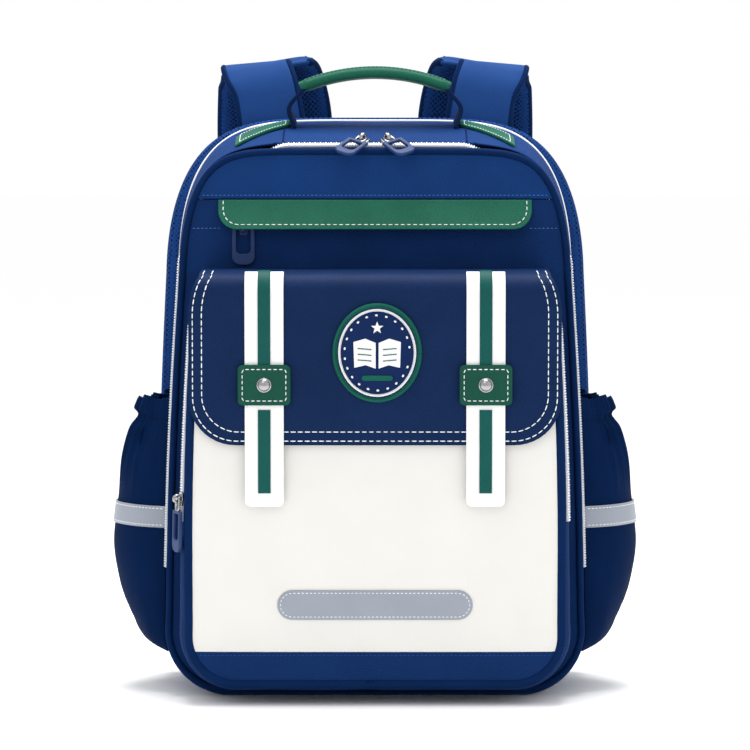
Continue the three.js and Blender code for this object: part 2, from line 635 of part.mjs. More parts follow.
function sidePatch(heights, acrosses, sign) {
  const grid = acrosses.map((across) => {
    const share = lerp(SIDE_POCKET.from, SIDE_POCKET.to, across);
    const column = heights.map((height) => {
      const stand = sideBulge(height, across) + sideLift(height, across);
      const p = gussetPoint(BODY, height, share).addScaledVector(gussetNormal(BODY, height, share), stand);
      return p.setX(sign * p.x);
    });
    return sign > 0 ? column : column.reverse();
  });
  return gridSurface(grid);
}

// A surface moved out along its own normals.
function raised({ points, faces }, distance) {
  const normals = surfaceNormals({ points, faces });
  return { points: points.map((p, i) => p.clone().addScaledVector(normals[i], distance)), faces };
}

function addSidePockets() {
  const heights = SIDE_PROFILE.map((row) => row.z);
  const acrosses = shares(SIDE_POCKET.columns);
  for (const { side, sign } of SIDES) {
    add(`side_pocket_${side}`, thicken(sidePatch(heights, acrosses, sign), CLOTH), NAVY_CLOTH);
    const strip = sidePatch([SIDE_BAND.low, SIDE_BAND.high], acrosses.slice(1, -1), sign);
    const lifted = raised(strip, SIDE_BAND.wall + GAP);
    add(`side_reflector_${side}`, thicken(lifted, SIDE_BAND.wall), GREY_REFLECTIVE);
  }
}

// Shoulder straps

// A path with rows added between its rows, on a smooth curve.
function finerPath(path, steps) {
  const curve = new THREE.CatmullRomCurve3(path.map((p) => new THREE.Vector3(p.x, p.y, p.z)));
  const spans = path.length - 1;
  return shares(spans * steps).map((t) => {
    const row = Math.min(Math.floor(t * spans), spans - 1);
    return { place: curve.getPoint(t), width: lerp(path[row].width, path[row + 1].width, t * spans - row) };
  });
}

// A strap whose outer face follows a path; its wall lies on the inner side of the bend.
function strapGeometry(path, wall, sign, across) {
  const rows = finerPath(path, STRAP_WALLS.steps);
  for (const row of rows) row.place.x *= sign;
  const grid = shares(across).map((t) =>
    rows.map(({ width, place }, i) => {
      const before = rows[Math.max(i - 1, 0)].place;
      const after = rows[Math.min(i + 1, rows.length - 1)].place;
      const along = after.clone().sub(before).normalize();
      const wide = new THREE.Vector3(1, 0, 0).projectOnPlane(along).normalize();
      return place.clone().addScaledVector(wide, width * (t - 0.5));
    }),
  );
  return thicken(gridSurface(grid), wall);
}

// A frame with two slots. Its length runs along Y from 0, and its outer face is at Z 0.
function buckleGeometry() {
  const { half, length, corner, slotHalf, slotEdge, slotHeight, wall } = BUCKLE;
  const frame = toShape(THREE.Shape, [
    [-half, 0],
    [half, 0],
    [half, length - corner],
    [half - corner, length],
    [corner - half, length],
    [-half, length - corner],
  ]);
  for (const low of [slotEdge, length - slotEdge - slotHeight]) {
    const high = low + slotHeight;
    const slot = [[-slotHalf, low], [-slotHalf, high], [slotHalf, high], [slotHalf, low]];
    frame.holes.push(toShape(THREE.Path, slot));
  }
  return new THREE.ExtrudeGeometry(frame, { depth: wall, bevelEnabled: false }).translate(0, 0, -wall);
}

function addShoulderStraps() {
  const ends = finerPath(STRAP_PAD, STRAP_WALLS.steps).slice(-2);
  const end = ends[1].place;
  const fall = end.clone().sub(ends[0].place).normalize();
  const top = end.clone().addScaledVector(fall, GAP);
  const from = top.clone().addScaledVector(fall, BUCKLE.length + 4 * GAP);
  const foot = new THREE.Vector3(WEB.footX, WEB.footY, WEB.footZ);
  const middle = from.clone().lerp(foot, 0.5).add(new THREE.Vector3(0, WEB.sag, 0));
  const web = [from, middle, foot].map((p) => ({ x: p.x, y: p.y, z: p.z, width: WEB.width }));
  const { x, low, high, halfLow, halfHigh, wall } = FOOT_TAB;
  const corners = table(["x", "z"], [[halfLow, low], [halfHigh, high], [-halfHigh, high], [-halfLow, low]]);
  for (const { side, sign } of SIDES) {
    const { root, pad, rootAcross, padAcross } = STRAP_WALLS;
    add(`strap_root_${side}`, strapGeometry(STRAP_ROOT, root, sign, rootAcross), NAVY_CLOTH);
    add(`shoulder_strap_${side}`, strapGeometry(STRAP_PAD, pad, sign, padAcross), NAVY_MESH);
    const down = new THREE.Vector3(sign * fall.x, fall.y, fall.z);
    const wide = new THREE.Vector3(1, 0, 0).projectOnPlane(down).normalize();
    const frame = new THREE.Matrix4().makeBasis(wide, down, wide.clone().cross(down));
    frame.setPosition(sign * top.x, top.y, top.z);
    add(`strap_buckle_${side}`, buckleGeometry().applyMatrix4(frame), NAVY_RUBBER);
    add(`strap_web_${side}`, strapGeometry(web, WEB.wall, sign, 1), NAVY_WEB);
    const outline = corners.map((p) => ({ x: sign * x + p.x, z: p.z }));
    const onBack = (px, pz) => new THREE.Vector3(px, BACK_FACE + GAP + wall, pz);
    const tab = discSurface(outline, PLATE_RINGS.coarse, onBack);
    add(`foot_tab_${side}`, thicken(turned(tab), wall), NAVY_CLOTH);
  }
}

// Carrying handle

const HANDLE_RISE = HANDLE.topZ - HANDLE.endZ;
const HANDLE_RADIUS = (HANDLE.half ** 2 + HANDLE_RISE ** 2) / (2 * HANDLE_RISE);
const HANDLE_REACH = Math.asin(HANDLE.half / HANDLE_RADIUS);

function handlePoint(angle, out) {
  const r = HANDLE_RADIUS + out;
  return new THREE.Vector3(r * Math.sin(angle), HANDLE.y, HANDLE.topZ - HANDLE_RADIUS + r * Math.cos(angle));
}

function gripGeometry() {
  const turns = shares(HANDLE.sides).map((t) => -2 * Math.PI * t);
  const grid = turns.map((turn) =>
    shares(HANDLE.steps).map((t) => {
      const p = handlePoint(lerp(-HANDLE_REACH, HANDLE_REACH, t), (HANDLE.height / 2) * Math.sin(turn));
      return p.setY(HANDLE.y + (HANDLE.depth / 2) * Math.cos(turn));
    }),
  );
  const wide = HANDLE.steps + 1;
  const { points, faces } = gridSurface(grid);
  for (let k = 1; k < HANDLE.sides - 1; k++) {
    const near = k * wide;
    const next = near + wide;
    faces.push([0, next, near], [wide - 1, near + wide - 1, next + wide - 1]);
  }
  return toGeometry(turned({ points, faces }));
}

// The place on the main gusset's crown at a distance from the middle and a share of the depth.
function crownPoint(x, share) {
  const points = ring(BODY, share).slice(CROWN_STEP - STEPS.shoulder, CROWN_STEP + 1);
  const at = points.findIndex((p) => p.x <= x);
  const before = points[at - 1];
  return before.clone().lerp(points[at], (before.x - x) / (before.x - points[at].x));
}

function addHandle() {
  add("handle_grip", gripGeometry(), GREEN_LEATHER);
  const start = handlePoint(HANDLE_REACH + HANDLE_WEB.lead / HANDLE_RADIUS, HANDLE_WEB.wall / 2);
  const edges = [HANDLE_WEB.backShare, HANDLE_WEB.frontShare].map((share) => {
    const foot = crownPoint(HANDLE_WEB.footX, share);
    foot.z += GAP;
    const waist = new THREE.Vector3(foot.x + HANDLE_WEB.bow, foot.y, lerp(start.z, foot.z, 0.5));
    return new THREE.CatmullRomCurve3([start.clone().setY(foot.y), waist, foot]).getPoints(HANDLE_WEB.steps);
  });
  for (const { side, sign } of SIDES) {
    const web = edges.map((edge) => edge.map((p) => new THREE.Vector3(sign * p.x, p.y, p.z)));
    if (sign < 0) web.reverse();
    add(`handle_web_${side}`, thicken(gridSurface(web), HANDLE_WEB.wall), NAVY_WEB);
    const tab = HANDLE_TAB.map(({ x, from, to }) =>
      shares(2).map((t) => {
        const p = crownPoint(x, lerp(from, to, t));
        return p.setX(sign * p.x);
      }),
    );
    const surface = raised(gridSurface(sign > 0 ? tab : tab.reverse()), LEATHER + 2 * GAP);
    add(`handle_tab_${side}`, thicken(surface, LEATHER), GREEN_LEATHER);
  }
}

// Zip sliders and pulls

// A plate with an arch on it. The zip runs along X, and the tape's outside is +Z.
function sliderGeometry() {
  const { length, width, base, arch, archWall, archWidth } = SLIDER;
  const body = new THREE.BoxGeometry(length, width, base).translate(0, 0, base / 2);
  const eye = arch / 2;
  const outer = eye + archWall;
  const crown = base + arch;
  const top = crown + archWall;
  const profile = toShape(THREE.Shape, [
    [-outer, base / 2], [outer, base / 2], [outer, crown], [eye, top], [-eye, top], [-outer, crown],
  ]);
  profile.holes.push(toShape(THREE.Path, [[-eye, base], [-eye, crown], [eye, crown], [eye, base]]));
  const bridge = new THREE.ExtrudeGeometry(profile, { depth: archWidth, bevelEnabled: false });
  bridge.rotateX(Math.PI / 2).translate(0, archWidth / 2, 0);
  return fromSolid(toSolid(body).add(toSolid(bridge)));
}

// A loop with a bar that runs through the slider's arch. The bar is at the origin along Y, and the loop
// lies along -X.
function pullGeometry(length) {
  const { width, wall, bar, rim, foot, corner, holeCorner, segments } = PULL;
  const near = bar / 2;
  const outline = (path, half, far, end, radius) => {
    path.moveTo(end, -half);
    path.lineTo(end, half);
    path.lineTo(far + radius, half);
    path.absarc(far + radius, half - radius, radius, Math.PI / 2, Math.PI, false);
    path.absarc(far + radius, radius - half, radius, Math.PI, 1.5 * Math.PI, false);
    return path;
  };
  const shape = outline(new THREE.Shape(), width / 2, near - length, near, corner);
  shape.holes.push(outline(new THREE.Path(), width / 2 - rim, near - length + foot, -near, holeCorner));
  const settings = { depth: wall, bevelEnabled: false, curveSegments: segments };
  return new THREE.ExtrudeGeometry(shape, settings).translate(0, 0, -wall / 2);
}

// A slider on its tape with its pull. out is the tape's outside, along the way that the pull lies.
function addZipPull({ slider, pull, place, out, along, length }) {
  const z = out.clone().normalize();
  const x = along.clone().projectOnPlane(z).normalize().negate();
  const frame = new THREE.Matrix4().makeBasis(x, z.clone().cross(x), z).setPosition(place);
  add(slider, sliderGeometry().applyMatrix4(frame), STEEL);
  const loop = pullGeometry(length).translate(0, 0, SLIDER.base + SLIDER.arch / 2);
  add(pull, loop.applyMatrix4(frame), NAVY_RUBBER);
}

function addZipPulls() {
  const down = new THREE.Vector3(0, 0, -1);
  const crown = ring(BODY, TOP_SLIDER.share)[CROWN_STEP];
  for (const { side, sign } of SIDES) {
    addZipPull({
      slider: `top_slider_${side}`,
      pull: `top_pull_${side}`,
      place: new THREE.Vector3(sign * TOP_SLIDER.x, crown.y, crown.z + TOP_SLIDER.rise),
      out: new THREE.Vector3(0, TOP_SLIDER.slope, 1),
      along: new THREE.Vector3(sign * TOP_SLIDER.outward, TOP_SLIDER.forward, 0),
      length: TOP_SLIDER.length,
    });
  }
  const seat = gussetPoint(BOX, SIDE_SLIDER.z, SIDE_SLIDER.share);
  const out = gussetNormal(BOX, SIDE_SLIDER.z, SIDE_SLIDER.share);
  out.x *= -1;
  addZipPull({
    slider: "side_slider",
    pull: "side_pull",
    place: seat.setX(-seat.x).addScaledVector(out, SIDE_SLIDER.stand),
    out,
    along: down,
    length: SIDE_SLIDER.length,
  });
  addZipPull({
    slider: "pocket_slider",
    pull: "pocket_pull",
    place: onPanel(GAP)(POCKET_SLIDER.x, POCKET_SLIDER.z),
    out: new THREE.Vector3(0, -1, 0),
    along: down,
    length: POCKET_SLIDER.length,
  });
}

addMainBag();
addFrontPanel();
addBoxPocket();
addFlap();
addStrips();
addSidePockets();
addShoulderStraps();
addHandle();
addZipPulls();

export default bag;
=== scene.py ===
import math
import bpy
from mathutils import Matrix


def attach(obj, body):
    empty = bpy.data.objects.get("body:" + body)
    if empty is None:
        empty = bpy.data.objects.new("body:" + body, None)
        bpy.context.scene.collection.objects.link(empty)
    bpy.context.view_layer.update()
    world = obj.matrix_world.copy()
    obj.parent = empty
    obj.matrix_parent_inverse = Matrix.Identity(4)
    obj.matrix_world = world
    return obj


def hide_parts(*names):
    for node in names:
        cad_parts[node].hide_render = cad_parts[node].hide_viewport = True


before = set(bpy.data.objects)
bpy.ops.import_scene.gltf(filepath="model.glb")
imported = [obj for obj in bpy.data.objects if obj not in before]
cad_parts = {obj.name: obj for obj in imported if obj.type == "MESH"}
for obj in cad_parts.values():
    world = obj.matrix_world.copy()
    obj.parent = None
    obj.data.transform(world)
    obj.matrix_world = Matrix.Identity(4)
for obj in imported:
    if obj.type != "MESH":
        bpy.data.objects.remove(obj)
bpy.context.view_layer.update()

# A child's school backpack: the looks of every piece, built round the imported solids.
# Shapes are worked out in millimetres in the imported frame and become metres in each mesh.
from types import SimpleNamespace as Sizes

import bpy
import numpy as np
from mathutils import Matrix, Vector, noise

MM = 0.001
BAG = "bag"
SIDES = {"left": -1, "right": 1}


def table(columns, rows):
    return [Sizes(**dict(zip(columns.split(), row))) for row in rows]


def column(rows, name):
    return [getattr(row, name) for row in rows]


# Sizes of the bag, as in the solids. Shares run from the front of a form to its back.

SECTION = "share y_low y_top half_low half_high low top shoulder side crown corner"
BODY = table(SECTION, [
    [0.0, -42, -22, 148, 138.5, 4.5, 390.5, 300, 8, 2.35, 43],
    [0.12, -35, -15.5, 149.8, 139.8, 0, 396, 300, 7, 2.35, 46],
    [0.5, 8, 20, 151, 143, 0, 405.5, 300, 6, 2.4, 48],
    [0.88, 46, 48, 150.5, 144.5, 0, 411, 300, 5, 2.45, 48],
    [1.0, 57, 57, 149.5, 144.3, 1.5, 412, 300, 5, 2.45, 48],
])
BOX = table(SECTION, [
    [0.0, -81.5, -81.5, 131, 126.5, 15.5, 296, 262, 10, 2, 34],
    [0.22, -74, -74, 137, 130.5, 10, 299, 262, 10, 2, 39],
    [1.0, -43.6, -28.4, 139, 134, 7, 299.5, 262, 10, 2, 42],
])
BACK = table(SECTION, [[0.0, 58, 58, 161, 154.5, 0, 414, 300, 5, 2.2, 52]])[0]
HALF_LOW_Z, SIDE_BOW = 60, 1.8
MAIN_ZIP_END_Z, FRONT_ZIP_END_Z = 92, 130
STEPS = Sizes(base=14, corner=18, foot=10, waist=8, flank=44, shoulder=70)
MAIN_STEP = STEPS.base + STEPS.corner + STEPS.foot
FRONT_STEP = MAIN_STEP + STEPS.waist
CROWN = FRONT_STEP + STEPS.flank + STEPS.shoulder
RING = 2 * CROWN
FINE = 400

GAP, CLOTH, LEATHER = 0.4, 2.0, 1.8
MAIN_ZIP = Sizes(form=BODY, front=0.07, back=0.128, teeth=0.1, step=MAIN_STEP)
FRONT_ZIP = Sizes(form=BOX, front=0.135, back=0.235, teeth=0.185, step=FRONT_STEP)
ZIP = Sizes(rows=3, nudge=0.01, stand=0.25, pitch=1.9, length=4.2, radius=0.68, stagger=0.35)
ZIP_LIFT = Sizes(sunk=-6.0, side=7.8, side_z=335, side_run=25, crown=5.6, crown_x=84, crown_run=22, front=0.9)
ZIP_FOLD = Sizes(front=0.066, back=0.15, end=0.02, low=312, half=70, power=0.4, stand=0.7, wall=1.0, rows=6)
GUSSET = Sizes(front=0.134, back=0.97, rows=30, base_rows=24)
BOX_WALLS = Sizes(front=0.03, back=0.985, rows=18)
PIPING = Sizes(share=0.984, radius=1.15)
EDGE_ROLL = Sizes(radius=2.6, inset=0.6)
POCKET_ROLL = Sizes(radius=3.5, overlap=0.75)
CROWN_SEAM = Sizes(x=66, front=0.15, back=0.6, count=20, lift=0.25, radius=0.55)
ROLL_SIDES, CORD_SIDES, FINE_SIDES = 14, 10, 8
PANEL_STEP, TRIM_STEP = 4, 3
GUSSET_WRINKLE, POCKET_WRINKLE, FLAP_WRINKLE, CREASE, EDGE_PUCKER, POCKET_PUCKER = table("depth size seed", [
    [0.7, 46, 3], [0.5, 30, 6], [0.35, 60, 8], [1.1, 30, 9], [0.05, 9, 4], [0.05, 9, 7],
])
BACK_EDGE = table("inset y", [[12, 57.4], [3, 59.2], [0, 64], [0, 67.5], [4, 72.5], [12, 75]])
BACK_FACE, BACK_RIM_ROWS, BACK_FACE_ROWS = 75, 21, 12
BACK_BINDING = Sizes(inset=9, sunk=0.6, radius=2.2)
CUSHION_ROWS = table("low high", [[56, 142], [152, 238], [248, 336]])
CUSHION = Sizes(inner=8, outer=112, dome=4.5, wall=3, step=3.2, bulge=0.16, seat=0.8, square=6, shoulder=0.6,
                pressure=4.0, limit=5.0)
PANEL = Sizes(split=356, fold=1, bulge=2.5, bulge_low=300, seam=2.6, short_seam=(110, 131), short_z=335)
COVER = Sizes(half=112, low=334.5, high=355.5, corner=13.5, lift=8.6, reach=1.2, curl=1.2,
              sewn_side=3.6, sewn_foot=3.4, sewn_corner=2.5)
FACE = Sizes(y=-85, seat=1.5, dome=2.4, side_power=6, end_power=8, band_top=38.5, band_lift=0.3, seam=2.4)
LEVEL_SEAM_HALF = 124
REFLECTOR = Sizes(half=68.6, z=72, radius=10.5, wall=1, sewn=2.1, steps=14)
FLAP = Sizes(half=130.5, low=185, bend=292, radius=13, bend_deg=88, y=-91.5, lip_y=-89.8, wall=2.4, corner=33,
             corner_rows=12, edge_turn=14, edge_drop=2, end_y=-29.2, taper=7.5, taper_low=276, columns=90,
             step=3, seams=(3.0, 9.4), seam_run=20, seam_turn=0.8, seam_points=300, seam_lift=0.05)
STRIP = Sizes(x=77.4, half=13.6, wall=1.6, high=309, split=228, low=142, corner=4, columns=10,
              sewn=1.6, sewn_low=3)
STRIPE = Sizes(half=4.4, wall=1, upper_low=239, lower_high=210, lower_low=151.5)
KEEPER = Sizes(half=18.4, low=213.3, high=241.7, corner=3.4, sewn=3.2, sewn_corner=1.5)
BAR_EDGE, BAR_CORNER_STEPS = 0.45, 4
STUD = table("radius height", [
    [0, 3.0], [1.6, 2.85], [3.0, 2.3], [3.9, 1.5], [4.3, 0.85], [4.6, 0.6], [5.1, 0.5], [5.2, 0.25], [5.1, 0],
])
STUD_SIDES, STUD_LIFT = 40, 0.1
BADGE = Sizes(x=1.5, z=250, half_width=31, half_height=34.5, wall=1.6, points=96, ground=1.2, dots=8.2)
BADGE_CORDS = table("name shrink lift radius sides", [["ring", 4.6, 1.6, 0.9, 8], ["rim", 1.4, 0.9, 1.7, 10]])
BADGE_THREAD = Sizes(lift=0.9, lean=0.35, length=3.6, radius=0.5, dip=1.0)
BADGE_DOT = Sizes(lift=0.2, first=4, every=7, length=1.9, radius=0.75)
MOTIF = Sizes(sunk=0.3, wall=1.1)
PAGE = [(1.0, -11), (8, -8.6), (16, -10.4), (16.6, 7.6), (8.4, 10), (1.0, 7)]
PAGE_LINE = Sizes(levels=(-5.5, -1.5, 2.5), start=(4, -0.2), end=(13.6, 0.6), lift=0.8)
BADGE_BAR = Sizes(half=11, low=-19.6, high=-15.8, corner=1.9)
STAR = Sizes(z=17.5, points=5, tip=4.6, notch=1.9)
SIDE_POCKET = Sizes(low_share=0.17, high_share=0.93, hem=197, gather=62, round=0.5, dip=7, fold_below=2.3,
                    fold_above=0.8, above_run=8, fold_up=1.4, ruffle_run=14, edge_run=0.1, edge_seat=0.9,
                    columns=141, hem_seams=(194.5, 198.5), hem_lift=0.1, sewn_columns=slice(2, -2), nudge=0.5)
SIDE_PROFILE = table("z bulge", [
    [31, 0.5], [38, 14], [50, 23.5], [64, 30], [80, 34.7], [106, 37.5], [135, 36], [164, 31.5], [187, 24.5],
    [197, 17.5], [204, 19], [211, 17.5], [216, 15],
])
SIDE_ROWS = table("low high count last", [[31, 60, 21, False], [60, 180, 39, False], [180, 215, 30, True]])
SIDE_BAND = Sizes(low=119.5, high=135, wall=1, rows=10, sewn=1.8, sewn_columns=slice(4, 70))
FOLDS = table("count size phase", [[7, 1.0, 0.0], [11, 1.0, 1.3], [17, 0.7, 2.1]])
STRAP = "x y z width"
STRAP_ROOT = table(STRAP, [
    [74, 75.6, 352, 48], [76, 75.8, 400, 49], [81, 81, 434, 48], [88, 90, 451.5, 50.5],
    [89.5, 99, 455.8, 50.5], [88.5, 108, 453, 50],
])
STRAP_PAD = table(STRAP, [
    [81.5, 103, 455.2, 67], [81.5, 114, 455.4, 69], [79, 127, 443, 78], [76, 135, 408, 85],
    [77, 139, 350, 82], [82, 138, 285, 74], [91, 131, 225, 64], [99, 120, 178, 54],
])
ROOT = Sizes(wall=4, tilt=math.radians(5), count=60, square=12, crown=3, sides=48, binding=2.4)
PAD = Sizes(wall=10, tilt=math.radians(10), count=110, square=7, crown=2.6, sides=48, binding=2.9, end=0.4,
            end_run=7, seam=0.44, held=3, sunk=0.7, sewn=slice(4, -4), pressure=3.0, limit=3.0)
BINDING_OVERLAP = 0.55
BUCKLE = Sizes(half=18, length=26, corner=4, slot_half=13.5, slot_edge=4, slot_height=5, wall=4, edge=0.9)
WEB = Sizes(width=25, wall=2, foot=(126, 77.8, 46.5), sag=3, count=60, square=16, crown=4, sides=32)
FOOT_TAB = Sizes(x=125, low=17, high=41, half_low=20, half_high=15, wall=2.4, sewn=0.82)
HANDLE = Sizes(y=34, half=54.5, end_z=436, top_z=447, depth=26, wall=9.4, square=3.2, crown=2.4, sides=40,
               count=60, end=0.82, end_step=0.06, end_count=3, seam_y=10.4, seam_height=0.86)
HANDLE_WEB = Sizes(wall=3, foot_x=60, bow=4, shares=(0.84, 0.54), tuck=0.02, rows=30, columns=9)
HANDLE_TAB = table("x low high", [[62, 0.63, 0.92], [74, 0.48, 0.8], [87, 0.31, 0.62], [100, 0.16, 0.43]])
TAB = Sizes(rows=25, columns=13, lift=0.6, extra=0.4)
PULL = Sizes(width=16.2, wall=2.6, bar=2.4, rim=3, foot_share=0.3, corner=6, hole_corner=3, edge=0.9)
LINK = Sizes(half=4.2, corner=3.2, bar=2, hole_corner=1.5, wall=1.8, edge=0.8, overlap=1.4)
SLIDER = Sizes(length=10, width=7.4, base=1.5, edge=0.45, tail=0.36, waist=0.5, chest=0.36, nose=0.32,
               arch=3.7, arch_wall=1.1, arch_width=3.2, wire=1.0, foot=0.6, elbow=1.2, shoulder=0.6,
               shoulder_rise=0.75, top_rise=1.1, points=40)
TOP_SLIDER = Sizes(x=9, share=0.1, rise=1.2, length=28, slope=-0.55, forward=-0.87, outward=0.5, link=8)
SIDE_SLIDER = Sizes(z=146, share=0.19, stand=0.1, length=39, link=11, near_z=1.0, near_share=0.01)
POCKET_SLIDER = Sizes(x=-94, z=335, length=27.5)
SEAMS = {row.name: row for row in table("name pitch length radius", [
    ["flap", 5.0, 3.9, 0.42], ["cover", 4.4, 3.1, 0.4], ["strap", 4.2, 3.0, 0.36], ["keeper", 3.9, 2.8, 0.38],
    ["panel", 3.0, 2.1, 0.36], ["grip", 3.0, 2.1, 0.32], ["tape", 2.9, 2.0, 0.32], ["strip", 2.8, 2.0, 0.26],
    ["hem", 2.6, 1.8, 0.36], ["page", 1.5, 1.9, 0.42],
])}
STITCH = Sizes(rise=0.35, dip=0.35, sides=5)
FILL = Sizes(roll=0.9, back=0.8, strap=0.75, grip=0.9)
CLOTH_RUN = Sizes(frames=20, quality=6, mass=0.15, stiffness=12, bending=0.6)


# Vectors and curves

def unit(v):
    return v / np.maximum(np.linalg.norm(v, axis=-1, keepdims=True), 1e-9)


def lerp(a, b, t):
    return a + (b - a) * t


def smooth(t):
    t = np.clip(t, 0, 1)
    return t * t * (3 - 2 * t)


def along(points):
    """Distance along a line of points, from its start."""
    return np.concatenate([[0], np.cumsum(np.linalg.norm(np.diff(points, axis=0), axis=1))])


def spaced(length, count):
    return (np.arange(count) + 0.5) * length / count


def turns(count):
    return np.linspace(0, 2 * np.pi, count, endpoint=False)


def read_at(at, run, rows):
    """Rows of values given along a run, read at other places on it."""
    return np.stack([np.interp(at, run, rows[:, k]) for k in range(rows.shape[1])], -1)


def resampled(points, count):
    points = np.asarray(points, float)
    run = along(points)
    return read_at(np.linspace(0, run[-1], count), run, points)


def curve_through(points, count):
    """A smooth curve through a few points, as a line of many."""
    points = np.asarray(points, float)
    padded = np.concatenate([[2 * points[0] - points[1]], points, [2 * points[-1] - points[-2]]])
    at = np.linspace(0, len(points) - 1, count)
    k = np.minimum(at.astype(int), len(points) - 2)
    t = (at - k)[:, None]
    a, b, c, d = (padded[k + i] for i in range(4))
    return 0.5 * (2 * b + (c - a) * t + (2 * a - 5 * b + 4 * c - d) * t**2 + (3 * b - a - 3 * c + d) * t**3)


def curve_values(at, values, where):
    """A smooth curve through a short table, read at many places."""
    fine = curve_through(np.stack([at, values], -1), FINE)
    return np.interp(where, fine[:, 0], fine[:, 1])


def tangents(points):
    return unit(np.gradient(points, axis=0))


NOISE_STEP = (17.3, 5.7, 11.1)


def bumps(points, wrinkle):
    """Smooth noise at each point, as deep as a wrinkle."""
    shift = Vector([wrinkle.seed * step for step in NOISE_STEP])
    heights = [noise.noise(Vector(p) + shift) for p in points.reshape(-1, 3) / wrinkle.size]
    return wrinkle.depth * np.reshape(heights, (*points.shape[:-1], 1))


# Outlines of the main forms, seen from the front

def section_at(form, share):
    """A smooth blend of a form's sections."""
    last = len(form) - 1
    at = min(max(sum(row.share <= share for row in form) - 1, 0), last - 1)
    start, end = form[at], form[at + 1]
    span = end.share - start.share
    t = (share - start.share) / span

    def slope(k, name):
        before, after = form[max(k - 1, 0)], form[min(k + 1, last)]
        return (getattr(after, name) - getattr(before, name)) / (after.share - before.share)

    section = Sizes()
    for name in SECTION.split():
        bend = t * (1 - t) * ((1 - t) * slope(at, name) - t * slope(at + 1, name)) * span
        setattr(section, name, lerp(getattr(start, name), getattr(end, name), smooth(t)) + bend)
    section.low = max(section.low, 0)
    return section


def half_width(section, z):
    t = (z - HALF_LOW_Z) / (section.shoulder - HALF_LOW_Z)
    return lerp(section.half_low, section.half_high, t) + SIDE_BOW * np.sin(np.pi * np.clip(t, 0, 1))


def half_outline(section):
    """From the middle of the underside up the right side to the middle of the crown."""
    elbow = section.low + section.corner
    wide = half_width(section, elbow)
    x = np.linspace(0, wide - section.corner, STEPS.base + 1)
    base = np.stack([x, np.full_like(x, section.low)], -1)
    turn = np.linspace(0, np.pi / 2, STEPS.corner + 1)[1:]
    corner = np.stack([np.sin(turn), -np.cos(turn)], -1) * section.corner + [wide - section.corner, elbow]
    levels = [elbow, MAIN_ZIP_END_Z, FRONT_ZIP_END_Z, section.shoulder]
    counts = [STEPS.foot, STEPS.waist, STEPS.flank]
    z = np.concatenate([np.linspace(a, b, n + 1)[1:] for a, b, n in zip(levels, levels[1:], counts)])
    side = np.stack([half_width(section, z), z], -1)
    turn = np.linspace(0, np.pi / 2, FINE)
    z = lerp(section.shoulder, section.top, np.sin(turn) ** (2 / section.crown))
    across = np.maximum(np.cos(turn), 0) ** (2 / section.side)
    across[-1] = 0
    shoulder = resampled(np.stack([half_width(section, z) * across, z], -1), STEPS.shoulder + 1)[1:]
    return np.concatenate([base, corner, side, shoulder])


def depth_at(section, z):
    return lerp(section.y_low, section.y_top, z / section.top)


def xz(points):
    return points[:, [0, 2]]


def at_depth(outline, y):
    """Points of x and z, set at a depth."""
    return np.stack([outline[:, 0], np.broadcast_to(y, len(outline)), outline[:, 1]], -1)


def section_ring(section):
    half = half_outline(section)
    whole = np.concatenate([half, half[-2:0:-1] * [-1, 1]])
    return at_depth(whole, depth_at(section, whole[:, 1]))


def ring(form, share):
    return section_ring(section_at(form, share))


def outward(outline):
    """Outward directions in the plane of a closed outline of x and z."""
    step = np.roll(outline, -1, 0) - np.roll(outline, 1, 0)
    return unit(np.stack([step[:, 1], -step[:, 0]], -1))


def inset(outline, distance):
    return outline - outward(outline) * distance


def clipped(outline, level, above):
    """The part of a closed outline of x and z on one side of a level."""
    points = []
    for p, q in zip(outline, np.roll(outline, -1, 0)):
        keep, keep_next = ((v[1] >= level) == above for v in (p, q))
        if keep:
            points.append(p)
        if keep != keep_next:
            points.append(lerp(p, q, (level - p[1]) / (q[1] - p[1])))
    return np.array(points)


SAME_PLACE = 0.8


def even(outline, step):
    """A closed outline with its points a step apart, so that long straight sides bend with their surface."""
    points = []
    for p, q in zip(outline, np.roll(outline, -1, 0)):
        count = math.ceil((np.linalg.norm(q - p) - SAME_PLACE) / step)
        points += [lerp(p, q, k / count) for k in range(count)]
    return np.array(points)


def rounded(half, low, high, low_radius, high_radius=0.0, x=0.0, steps=8):
    """A rounded rectangle of x and z, anticlockwise seen from the front."""
    lower, upper = (low, -1, low_radius), (high, 1, high_radius)
    points = []
    for quarter, out, (z, up, radius) in zip((-1, 0, 1, 2), (1, 1, -1, -1), (lower, upper, upper, lower)):
        for t in range(steps + 1) if radius else [0]:
            angle = math.radians(90 * quarter + 90 * t / steps)
            across = out * (half - radius) + radius * math.cos(angle)
            points.append((x + across, z - up * radius + radius * math.sin(angle)))
    return np.array(points)


def closed_line(outline):
    return np.concatenate([outline, outline[:1]])


def open_sides(outline, level):
    """A closed outline without its level top edge, from its upper left round to its upper right."""
    top = np.flatnonzero(outline[:, 1] >= level - 1e-6)
    left = top[np.argmin(outline[top, 0])]
    return np.roll(outline, -left, 0)


# Meshes

def add_object(name, data):
    obj = bpy.data.objects.new(name, data)
    bpy.context.scene.collection.objects.link(obj)
    return obj


def add_mesh(name, mesh, material, weave):
    """An object for a mesh, with smooth faces and its cloth coordinates."""
    mesh.polygons.foreach_set("use_smooth", [True] * len(mesh.polygons))
    coordinates = mesh.attributes.new("weave", "FLOAT_VECTOR", "POINT")
    coordinates.data.foreach_set("vector", np.asarray(weave, np.float32).ravel())
    mesh.materials.clear()
    mesh.materials.append(material)
    return add_object(name, mesh)


